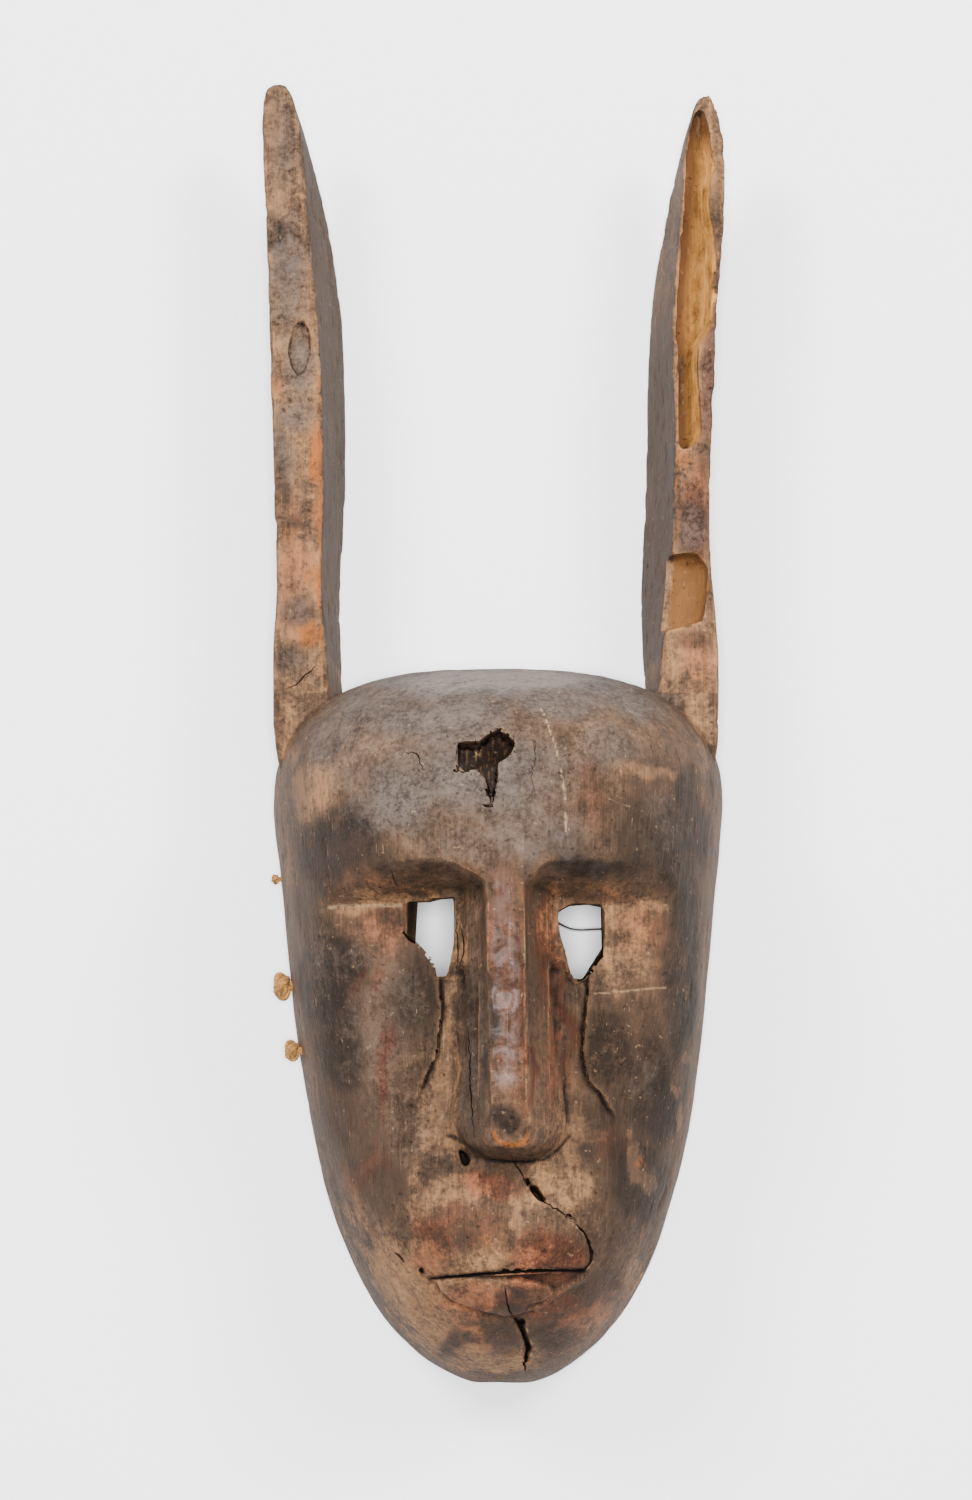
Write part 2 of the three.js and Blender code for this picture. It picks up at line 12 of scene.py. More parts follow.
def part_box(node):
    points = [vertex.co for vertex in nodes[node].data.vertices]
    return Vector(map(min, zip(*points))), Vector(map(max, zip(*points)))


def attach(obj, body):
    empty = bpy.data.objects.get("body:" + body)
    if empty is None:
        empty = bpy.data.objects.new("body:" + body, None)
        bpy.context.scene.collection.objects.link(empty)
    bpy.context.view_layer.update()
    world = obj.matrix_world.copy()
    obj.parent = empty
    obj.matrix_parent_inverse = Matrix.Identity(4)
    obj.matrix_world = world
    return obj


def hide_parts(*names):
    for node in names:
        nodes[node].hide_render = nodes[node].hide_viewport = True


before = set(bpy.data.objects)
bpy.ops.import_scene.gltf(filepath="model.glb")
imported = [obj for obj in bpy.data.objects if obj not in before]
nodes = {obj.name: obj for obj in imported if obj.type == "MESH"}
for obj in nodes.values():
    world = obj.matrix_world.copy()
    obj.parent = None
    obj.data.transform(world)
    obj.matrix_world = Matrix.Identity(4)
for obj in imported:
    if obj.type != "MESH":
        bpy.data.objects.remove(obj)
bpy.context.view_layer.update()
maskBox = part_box("mask")
# The carving is laid out in millimetres from a point on the midline. Counted from it, the box ends here
boxEnd = (92.54, 269.4)
zero = np.array([maskBox[1].x * 1000 - boxEnd[0], maskBox[1].y * 1000 - boxEnd[1], 0.0])


def toMetres(x, y, z):
    return Vector(((x + zero[0]) / 1000, (y + zero[1]) / 1000, (z + zero[2]) / 1000))


def linked(name, data):  # a new object in the scene
    made = bpy.data.objects.new(name, data)
    bpy.context.scene.collection.objects.link(made)
    return made


# Camera, as the photograph looks at the mask: nearly straight down, from a little towards the chin
view = {"target": (-4.8, -6, 40), "distance": 2.2, "tilt": 10, "lens": 132, "sensor": 36, "clip": (0.1, 20)}


def addCamera():
    data = bpy.data.cameras.new("camera")
    data.lens = view["lens"]
    data.sensor_width = view["sensor"]
    data.clip_start, data.clip_end = view["clip"]
    camera = linked("camera", data)
    tilt = math.radians(view["tilt"])
    back = Vector((0, -math.sin(tilt), math.cos(tilt)))
    camera.location = toMetres(*view["target"]) + back * view["distance"]
    camera.rotation_euler = (tilt, 0, 0)
    bpy.context.scene.camera = camera


addCamera()


# Node trees. An output is wrapped, so that sums of outputs can be written as sums
class Output:
    def __init__(self, tree, socket):
        self.tree, self.socket = tree, socket

    def calc(self, operation, *values):
        return self.tree.node("ShaderNodeMath", {"operation": operation}, dict(enumerate(values)))

    def __add__(self, other):
        return self.calc("ADD", self, other)

    def __radd__(self, other):
        return self.calc("ADD", other, self)

    def __sub__(self, other):
        return self.calc("SUBTRACT", self, other)

    def __rsub__(self, other):
        return self.calc("SUBTRACT", other, self)

    def __mul__(self, other):
        return self.calc("MULTIPLY", self, other)

    def __rmul__(self, other):
        return self.calc("MULTIPLY", other, self)

    def __truediv__(self, other):
        return self.calc("DIVIDE", self, other)

    def step(self, low, high):  # runs smoothly from 0 at low to 1 at high
        return self.tree.node("ShaderNodeMapRange", {"interpolation_type": "SMOOTHSTEP"},
                              {"Value": self, "From Min": low, "From Max": high})

    def beside(self, name):  # another output of the same node
        return Output(self.tree, self.socket.node.outputs[name])


class Tree:
    def __init__(self, group):
        self.group = group

    def node(self, kind, settings=None, inputs=None, output=0):
        made = self.group.nodes.new(kind)
        for key, value in (settings or {}).items():
            setattr(made, key, value)
        for key, value in (inputs or {}).items():
            self.feed(made.inputs[key], value)
        return Output(self, made.outputs[output])

    def feed(self, target, value):
        if isinstance(value, Output):
            self.group.links.new(value.socket, target)
        else:
            target.default_value = value


# Materials
class Shader(Tree):
    def __init__(self, name):
        self.material = bpy.data.materials.new(name)
        self.material.use_nodes = True
        super().__init__(self.material.node_tree)
        self.surface = self.group.nodes["Principled BSDF"]
        self.place = self.node("ShaderNodeTexCoord", output="Object")

    def noise(self, scale, detail=3, rough=0.55, stretch=(1, 1, 1), turn=0.0, warp=0.0):
        placed = self.node("ShaderNodeMapping", None, {
            "Vector": self.place, "Scale": stretch, "Rotation": (0, 0, math.radians(turn))})
        return self.node("ShaderNodeTexNoise", None, {
            "Vector": placed, "Scale": scale, "Detail": detail, "Roughness": rough, "Distortion": warp})

    def mix(self, amount, first, second, blend="MIX"):  # colours
        return self.node("ShaderNodeMix", {"data_type": "RGBA", "blend_type": blend},
                         {0: amount, 6: first, 7: second}, 2)

    def ramp(self, value, stops):
        shade = self.node("ShaderNodeValToRGB", None, {"Fac": value})
        ramp = shade.socket.node.color_ramp
        ramp.elements[0].position, ramp.elements[0].color = stops[0]
        ramp.elements[1].position, ramp.elements[1].color = stops[-1]
        for position, ink in stops[1:-1]:
            ramp.elements.new(position).color = ink
        return shade

    def bump(self, height, distance, strength):
        return self.node("ShaderNodeBump", None, {
            "Height": height, "Distance": distance, "Strength": strength}, "Normal")

    def painted(self, name):
        return self.node("ShaderNodeAttribute", {"attribute_name": name}, output="Fac")

    def finish(self, **inputs):
        for key, value in inputs.items():
            self.feed(self.surface.inputs[key.replace("_", " ")], value)
        return self.material


def colour(red, green, blue):  # from screen values, 0 to 255
    steps = (red, green, blue)
    return tuple(((c / 255 + 0.055) / 1.055) ** 2.4 if c > 10 else c / 3295 for c in steps) + (1,)


speck, deep = colour(146, 120, 88), colour(11, 7, 5)
wood = {
    "tones": [(0.0, colour(17, 12, 9)), (0.22, colour(36, 27, 20)), (0.4, colour(59, 44, 33)),
              (0.55, colour(82, 60, 43)), (0.7, colour(108, 79, 54)), (0.85, colour(132, 97, 64)),
              (1.0, colour(158, 119, 78))],
    "tone": 0.44, "variation": 0.6,  # of the plain wood on that scale, and what raises or lowers it
    "raised": {"tan": 0.23, "dark": -0.25, "edge": 0.12, "inside": -0.06, "cavityShade": -0.24},
    "red": colour(104, 54, 36), "redness": 0.68,
    "dustAndLitTop": colour(80, 71, 65), "dustDark": colour(50, 44, 41), "paleDustAndLitTop": colour(116, 108, 100),
    "paleness": 0.7,  # of the thickest dust, which on the crown also stands for painted light
    "raw": colour(170, 118, 58), "rawDark": colour(100, 62, 28),
    "torn": colour(22, 14, 9), "tornPale": colour(84, 54, 30),
    # layers from the lowest up: how much each covers where it is thickest, and its colour if that is even
    "layers": {
        "dustAndLitTop": (0.82, None), "stain": (0.7, colour(38, 29, 25)), "orange": (0.75, colour(128, 66, 18)),
        "raw": (1, None), "torn": (0.95, None), "specks": (0.3, speck), "holes": (0.4, deep),
        # below, the layer for sunk places is painted shade, and the one for creases is dirt with painted
        # shade
        "scratches": (0.6, speck), "cavityShade": (0.5, deep), "crease": (0.8, deep), "cut": (0.85, deep),
        "pale": (0.65, speck),
    },
    "roughness": 0.66, "specular": 0.07, "coat": 0.14, "coatRoughness": 0.32,
    "grainHeight": 0.0012, "grainStrength": 0.9,
}


def woodMaterial():
    s = Shader("worn dark wood")
    cloud = s.noise(26, 6, 0.62, (1, 0.6, 1), warp=0.3)
    mottle = s.noise(120, 5, 0.68, warp=0.4)
    grain = s.noise(1, 5, 0.68, (420, 26, 420))
    fibre = s.noise(1, 3, 0.65, (1100, 70, 1100))
    grit = s.noise(560, 4, 0.75)
    spots = s.noise(420, 2, 0.5)
    ragged = 0.9 * mottle + 0.8 * grit + 0.6 * cloud + 0.4 * grain - 1.35

    def patch(name, low, high):  # a painted patch with a ragged outline
        return (s.painted(name) + ragged).step(low, high)

    tan, dark, dustAndLitTop = patch("tan", 0.2, 0.85), patch("dark", 0.2, 0.9), patch("dustAndLitTop", 0.1, 1.05)
    smooth = 1 - 0.85 * dustAndLitTop  # under the dust, and under the painted light on the top, the grain doesn't show
    vary = 0.9 * cloud + 1.05 * mottle + 0.8 * grit - 1.375 + smooth * (0.6 * grain + 0.5 * fibre - 0.55)
    raised = wood["raised"]
    tone = wood["tone"] + wood["variation"] * vary + raised["tan"] * tan + raised["dark"] * dark
    # of these, the lowering in sunk places is painted shade; it comes again as a near-black layer further on
    for name in ("edge", "inside", "cavityShade"):
        tone = tone + raised[name] * s.painted(name)
    shade = s.ramp(tone, wood["tones"])
    shade = s.mix(patch("red", 0.15, 0.9) * wood["redness"], shade, wood["red"], "COLOR")
    dustyAndLitTop = s.mix((grit + 0.6 * mottle - 0.3).step(0.3, 0.62), wood["dustDark"], wood["dustAndLitTop"])
    # the thickest dust turns paler; on the crown this paleness is painted light as well as dust
    thickDustAndLitTop = (s.painted("dustAndLitTop") + 0.8 * ragged).step(0.8, 1.6)
    raw = s.mix((0.6 * grain + 0.7 * mottle - 0.15).step(0.28, 0.6), wood["rawDark"], wood["raw"])
    colours = {
        "dustAndLitTop": s.mix(thickDustAndLitTop * wood["paleness"], dustyAndLitTop, wood["paleDustAndLitTop"]),
        "raw": s.mix(s.painted("shaded") * (0.7 + 0.6 * mottle), raw, wood["tornPale"]),
        "torn": s.mix((fibre + 0.5 * grit - 0.25).step(0.5, 0.8), wood["torn"], wood["tornPale"]),
    }
    falling = s.noise(1, 1, 0.4, (1700, 70, 1700), 24).step(0.74, 0.78)
    rising = s.noise(1, 1, 0.4, (1700, 60, 1700), -52).step(0.75, 0.79)
    scratches, holes = (falling + rising) * mottle.step(0.45, 0.6), spots.step(0.34, 0.26)
    amounts = {
        "dustAndLitTop": dustAndLitTop, "stain": (s.painted("stain") + 0.5 * ragged).step(0.2, 0.7),
        "orange": patch("orange", 0.35, 1.1), "specks": spots.step(0.68, 0.76), "holes": holes,
        "scratches": scratches, "cavityShade": s.painted("cavityShade").step(0.6, 1.0),
        # dirt and painted shade along the creases
        "crease": (s.painted("crease") * (0.6 + grit)).step(0.2, 0.9),
        # pale lines: scratches and rubbed ridges, and painted highlights down the nose's ridge
        "pale": (s.painted("pale") * (0.4 + grit)).step(0.15, 0.8),
    }
    for name, (most, ink) in wood["layers"].items():
        amount = amounts[name] if name in amounts else s.painted(name)
        shade = s.mix(amount * most, shade, ink or colours[name])
    gloss = s.painted("shine").step(0.2, 0.9) * mottle.step(0.35, 0.6)
    roughness = (wood["roughness"] + 0.3 * (mottle - 0.5) - 0.18 * gloss
                 + 0.1 * s.painted("cut") + 0.1 * s.painted("raw"))
    height = (smooth * (0.5 * fibre + 0.45 * grain) + (0.5 + 0.5 * dustAndLitTop) * grit + 0.8 * mottle
              - 0.35 * scratches - 0.35 * holes)
    bump = s.bump(height, wood["grainHeight"], wood["grainStrength"])
    return s.finish(Base_Color=shade, Roughness=roughness, Coat_Weight=wood["coat"] * gloss, Normal=bump,
                    Specular_IOR_Level=wood["specular"], Coat_Roughness=wood["coatRoughness"])


def cordMaterial():
    s = Shader("plant fibre cord")
    fibre = s.noise(1500, 3, 0.6)
    patches = s.noise(260, 3)
    shade = s.mix(fibre.step(0.35, 0.65), colour(112, 74, 30), colour(160, 114, 54))
    shade = s.mix(patches.step(0.5, 0.68) * 0.6, shade, colour(74, 48, 24))
    return s.finish(Base_Color=shade, Roughness=0.9, Normal=s.bump(fibre, 0.0004, 0.6))


def wireMaterial():
    s = Shader("dark iron wire")
    rust = s.noise(700, 3).step(0.5, 0.62)
    shade = s.mix(rust, colour(52, 52, 54), colour(88, 62, 48))
    return s.finish(Base_Color=shade, Roughness=0.45 + 0.35 * rust, Metallic=0.85 - 0.6 * rust)


def floorMaterial():
    return Shader("pale backdrop paper").finish(Base_Color=(0.86, 0.86, 0.87, 1), Roughness=0.9)


woodFinish, cordFinish, wireFinish = woodMaterial(), cordMaterial(), wireMaterial()
print("materials made")


# Hanging wire: one iron wire across the hollow, both ends let into the side walls
wire = {
    "diameter": 0.0008,
    "route": [(-82, -49, 12), (-62, -51, 11.4), (-36, -54, 10.4), (-12, -58, 9.6), (8, -63, 9.4),
              (18, -67.4, 9.6), (24.6, -71.6, 9.8), (31, -74.2, 10), (42.4, -74, 10.2), (62, -73.2, 11),
              (82, -72.4, 12)],
    "stepsPerSpan": 4,
}


def throughPoints(points, steps):  # a smooth line through the points
    points = [Vector(p) for p in points]
    ends = [2 * points[0] - points[1]] + points + [2 * points[-1] - points[-2]]
    line = []
    for a, b, c, d in zip(ends, ends[1:], ends[2:], ends[3:]):
        for i in range(steps):
            t = i / steps
            line.append(0.5 * ((2 * b) + (c - a) * t + (2 * a - 5 * b + 4 * c - d) * t ** 2
                               + (3 * b - a - 3 * c + d) * t ** 3))
    return line + [points[-1]]


def curveObject(name, points, radius, material):
    data = bpy.data.curves.new(name, "CURVE")
    data.dimensions = "3D"
    data.bevel_depth = radius
    data.bevel_resolution = 3
    data.use_fill_caps = True
    spline = data.splines.new("POLY")
    spline.points.add(len(points) - 1)
    for place, p in zip(spline.points, points):
        place.co = (*p, 1)
    data.materials.append(material)
    return linked(name, data)


wireLine = [toMetres(*p) for p in throughPoints(wire["route"], wire["stepsPerSpan"])]
wirePiece = curveObject("iron_wire", wireLine, wire["diameter"] / 2, wireFinish)
for spline in wirePiece.data.splines:
    spline.use_smooth = True
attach(wirePiece, "root")
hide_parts("hanging_wire")
print("wire made")


# Geometry Nodes, with named inputs
class GeometryTree(Tree):
    def __init__(self, name, inputs):
        super().__init__(bpy.data.node_groups.new(name, "GeometryNodeTree"))
        face = self.group.interface
        face.new_socket("Geometry", in_out="INPUT", socket_type="NodeSocketGeometry")
        for label, kind, value in inputs:
            face.new_socket(label, in_out="INPUT", socket_type=kind).default_value = value
        face.new_socket("Geometry", in_out="OUTPUT", socket_type="NodeSocketGeometry")
        self.start = self.group.nodes.new("NodeGroupInput")
        self.end = self.group.nodes.new("NodeGroupOutput")

    def given(self, label):
        return Output(self, self.start.outputs[label])

    def vector(self, operation, inputs):
        return self.node("ShaderNodeVectorMath", {"operation": operation}, inputs)

    def finish(self, geometry, material):
        real = self.node("GeometryNodeRealizeInstances", None, {"Geometry": geometry})
        dressed = self.node("GeometryNodeSetMaterial", None, {"Geometry": real, "Material": material})
        self.feed(self.end.inputs["Geometry"], dressed)
        return self.group


def settled(source):  # a plain mesh of the object as its modifiers leave it
    graph = bpy.context.evaluated_depsgraph_get()
    return bpy.data.meshes.new_from_object(source.evaluated_get(graph))


def resultOf(source, tree, values, name):  # runs a tree on an object and keeps the result as a plain mesh
    modifier = source.modifiers.new(tree.name, "NODES")
    modifier.node_group = tree
    for item in tree.interface.items_tree:
        if item.in_out == "INPUT" and item.name in values:
            modifier[item.identifier] = values[item.name]
    mesh = settled(source)
    source.modifiers.remove(modifier)
    mesh.name = name
    return mesh


def reworked(mesh, change):  # changes a mesh by way of its editable form
    bm = bmesh.new()
    bm.from_mesh(mesh)
    change(bm)
    bm.to_mesh(mesh)
    bm.free()
    return mesh


# Knotted cords: each comes through a hole in the left wall and ends in a knot outside it
knots = {
    "pieces": {  # half sizes and a strand's radius, mm
        "cord_knot_upper": ((1.8, 2.4, 2.4), 0.55), "cord_knot_middle": ((3.8, 6.4, 5.0), 1.0),
        "cord_knot_lower": ((3.2, 5.0, 4.4), 0.85),
    },
    "sides": 7, "spacing": 0.0005,  # of a strand's mesh, m
    "lay": 0.95, "twistLength": 9,  # of the strands round each other, in strand radii
    "room": 2.1,  # from the knot's line to its outside, in strand radii
    "points": 72, "wound": 0.97,  # of the knot's line, and how much of the whole round it goes
    "tailPoints": 16, "tailGap": 0.0006,  # of the straight end in the wall
}


def twistedCordTree():
    t = GeometryTree("twisted cord", [
        ("Strands", "NodeSocketInt", 3), ("Strand Radius", "NodeSocketFloat", 0.0006),
        ("Lay Radius", "NodeSocketFloat", 0.0006), ("Twist Length", "NodeSocketFloat", 0.007)])
    line = t.node("GeometryNodeResampleCurve", {"mode": "LENGTH"}, {
        "Curve": t.given("Geometry"), "Length": knots["spacing"]})
    copies = t.node("GeometryNodeDuplicateElements", {"domain": "SPLINE"}, {
        "Geometry": line, "Amount": t.given("Strands")})
    along = t.node("GeometryNodeSplineParameter", output="Length")
    turns = along / t.given("Twist Length") + copies.beside("Duplicate Index") / t.given("Strands")
    angle = turns * (2 * math.pi)
    normal = t.node("GeometryNodeInputNormal")
    side = t.vector("CROSS_PRODUCT", {0: t.node("GeometryNodeInputTangent"), 1: normal})
    ways = [t.vector("SCALE", {0: way, "Scale": angle.calc(wave, angle) * t.given("Lay Radius")})
            for way, wave in ((normal, "COSINE"), (side, "SINE"))]
    laid = t.node("GeometryNodeSetPosition", None, {
        "Geometry": copies, "Offset": t.vector("ADD", dict(enumerate(ways)))})
    profile = t.node("GeometryNodeCurvePrimitiveCircle", None, {
        "Resolution": knots["sides"], "Radius": t.given("Strand Radius")})
    strands = t.node("GeometryNodeCurveToMesh", None, {
        "Curve": laid, "Profile Curve": profile, "Fill Caps": True})
    return t.finish(strands, cordFinish)


def knotLine(low, high, size, strand):
    middle = Vector((low.x + size[0] / 1000, (low.y + high.y) / 2, (low.z + high.z) / 2))
    room = [(s - knots["room"] * strand) / 1000 for s in size]
    loop = []
    for i in range(knots["points"]):
        a = 2 * math.pi * i / knots["points"] * knots["wound"]
        loop.append(middle + Vector((room[0] * math.sin(3 * a),
                                     room[1] * (2 + math.cos(3 * a)) * math.sin(2 * a) / 3,
                                     room[2] * (2 + math.cos(3 * a)) * math.cos(2 * a) / 3)))
    inside = np.linspace(high.x - knots["tailGap"], middle.x + room[0], knots["tailPoints"])
    return [Vector((x, middle.y, middle.z)) for x in inside] + loop


def makeKnots():
    tree = twistedCordTree()
    for name, (size, strand) in knots["pieces"].items():
        source = curveObject(name + "_line", knotLine(*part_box(name), size, strand), 0, cordFinish)
        mesh = resultOf(source, tree, {
            "Strand Radius": strand / 1000, "Lay Radius": knots["lay"] * strand / 1000,
            "Twist Length": knots["twistLength"] * strand / 1000}, name + "_twisted")
        bpy.data.objects.remove(source)
        mesh.shade_smooth()
        piece = linked(name + "_twisted", mesh)
        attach(piece, "root")
        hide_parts(name)


makeKnots()
print("knots made")


# The carving. Points are handled as arrays, in millimetres from the carving's own zero
def readFlat(items, name, width, kind=np.float32):
    flat = np.empty(len(items) * width, kind)
    items.foreach_get(name, flat)
    return flat.reshape(-1, width)


def readPoints(mesh):
    return readFlat(mesh.vertices, "co", 3).astype(float) * 1000 - zero


def readNormals(mesh):
    return readFlat(mesh.vertices, "normal", 3).astype(float)


def readValues(mesh, name):
    return readFlat(mesh.attributes[name].data, "value", 1)[:, 0].astype(float)


def store(mesh, name, values):
    layer = mesh.attributes.get(name) or mesh.attributes.new(name, "FLOAT", "POINT")
    layer.data.foreach_set("value", np.ascontiguousarray(values, np.float32))


def writePoints(mesh, points):
    mesh.vertices.foreach_set("co", ((points + zero) / 1000).astype(np.float32).ravel())
    mesh.update()


def gathered(to, values, size):  # the sum of the rows that go to each place
    return np.stack([np.bincount(to, values[:, axis], size) for axis in range(values.shape[1])], 1)


def exchanged(pairs, values, weights=1.0):  # each place's sum of its partners' rows
    first, second = pairs
    size = len(values)
    return gathered(first, weights * values[second], size) + gathered(second, weights * values[first], size)


def smoothed(values, edges, rounds, weight=1.0):
    count = np.maximum(np.bincount(edges.ravel(), minlength=len(values)), 1)[:, None]
    for _ in range(rounds):
        values = values + weight * 0.5 * (exchanged(edges.T, values) / count - values)
    return values


def touchingFaces(faces):  # the pairs that share an edge
    after = np.roll(faces, -1, axis=1)
    lower, upper = np.minimum(faces, after).ravel(), np.maximum(faces, after).ravel()
    key = lower.astype(np.int64) * len(faces) * 2 + upper
    order = np.argsort(key, kind="stable")
    same = key[order][1:] == key[order][:-1]
    return order[:-1][same] // 4, order[1:][same] // 4


def faceNormals(points, faces):
    corner = points[faces]
    normal = np.cross(corner[:, 2] - corner[:, 0], corner[:, 3] - corner[:, 1])
    return normal / np.maximum(np.linalg.norm(normal, axis=1), 1e-12)[:, None]


def evened(points, faces, rounds, spread, moves):  # flattens the faces and leaves their edges crisp
    first, second = touchingFaces(faces)
    normals = faceNormals(points, faces)
    for _ in range(rounds):
        likeness = np.exp(-np.sum((normals[first] - normals[second]) ** 2, axis=1) / spread ** 2)
        total = normals + exchanged((first, second), normals, likeness[:, None])
        normals = total / np.linalg.norm(total, axis=1)[:, None]
    corner = faces.ravel()
    count = np.maximum(np.bincount(corner, minlength=len(points)), 1)[:, None]
    facing = np.repeat(normals, 4, axis=0)
    for _ in range(moves):
        gap = np.repeat(points[faces].mean(axis=1), 4, axis=0) - points[corner]
        push = facing * np.sum(gap * facing, axis=1)[:, None]
        points = points + gathered(corner, push, len(points)) / count
    return points


def step(low, high, value):
    t = np.clip((value - low) / (high - low), 0, 1)
    return t * t * (3 - 2 * t)


def lattice(cell, seed):  # a number from 0 to 1 for each cell, as if at random
    n = (cell[:, 0] * 374761393 + cell[:, 1] * 668265263 + cell[:, 2] * 362437 + seed * 974711) & 0xFFFFFFFF
    n = ((n ^ (n >> 13)) * 1274126177) & 0xFFFFFFFF
    return ((n ^ (n >> 16)) & 0xFFFFFF) / 0xFFFFFF


def noise(points, size, seed):  # 0 to 1, in lumps of about this size
    p = points / np.asarray(size, float)
    cell = np.floor(p).astype(np.int64)
    f = p - cell
    f = f * f * (3 - 2 * f)
    total = np.zeros(len(points))
    for corner in np.ndindex(2, 2, 2):
        share = np.prod(np.where(corner, f, 1 - f), axis=1)
        total += share * lattice(cell + np.array(corner), seed)
    return total


def gougeMarks(points, size, seed):  # 0 in the middle of each scoop, 1 on the ridges between them
    p = points / np.asarray(size, float)
    cell = np.floor(p).astype(np.int64)
    near = np.full((2, len(points)), 9.0)
    for corner in np.ndindex(3, 3, 3):
        other = cell + np.array(corner) - 1
        spot = other + np.stack([lattice(other, seed + k) for k in range(3)], 1)
        d = np.linalg.norm(spot - p, axis=1)
        near[1] = np.minimum(near[1], np.maximum(near[0], d))
        near[0] = np.minimum(near[0], d)
    return 1 - step(0, 0.45, near[1] - near[0])


def blobs(points, rows):  # soft oval patches: x, y, half width, half height, strength
    total = np.zeros(len(points))
    for x, y, rx, ry, strength in rows:
        d = np.hypot((points[:, 0] - x) / rx, (points[:, 1] - y) / ry)
        total = np.maximum(total, strength * np.clip(1.5 - d, 0, 1))
    return total


def alongLine(points, line):  # distance from a line of x, y points, seen from the front
    best = np.full(len(points), 1e9)
    for (ax, ay), (bx, by) in zip(line, line[1:]):
        dx, dy = bx - ax, by - ay
        t = np.clip(((points[:, 0] - ax) * dx + (points[:, 1] - ay) * dy) / (dx * dx + dy * dy), 0, 1)
        best = np.minimum(best, np.hypot(points[:, 0] - ax - t * dx, points[:, 1] - ay - t * dy))
    return best


def ridge(points, line, half):  # 1 on the line, falling off to each side
    return np.exp(-(alongLine(points, line) / half) ** 2)


def within(points, outline, soft):  # 1 inside an outline seen from the front, 0 outside it
    x, y = points[:, 0], points[:, 1]
    odd = np.zeros(len(points), bool)
    for (ax, ay), (bx, by) in zip(outline, outline[1:] + outline[:1]):
        level = (ay > y) != (by > y)
        odd ^= level & (x < (bx - ax) * (y - ay) / ((by - ay) or 1) + ax)
    away = alongLine(points, outline + outline[:1])
    return step(-soft, soft, np.where(odd, away, -away))


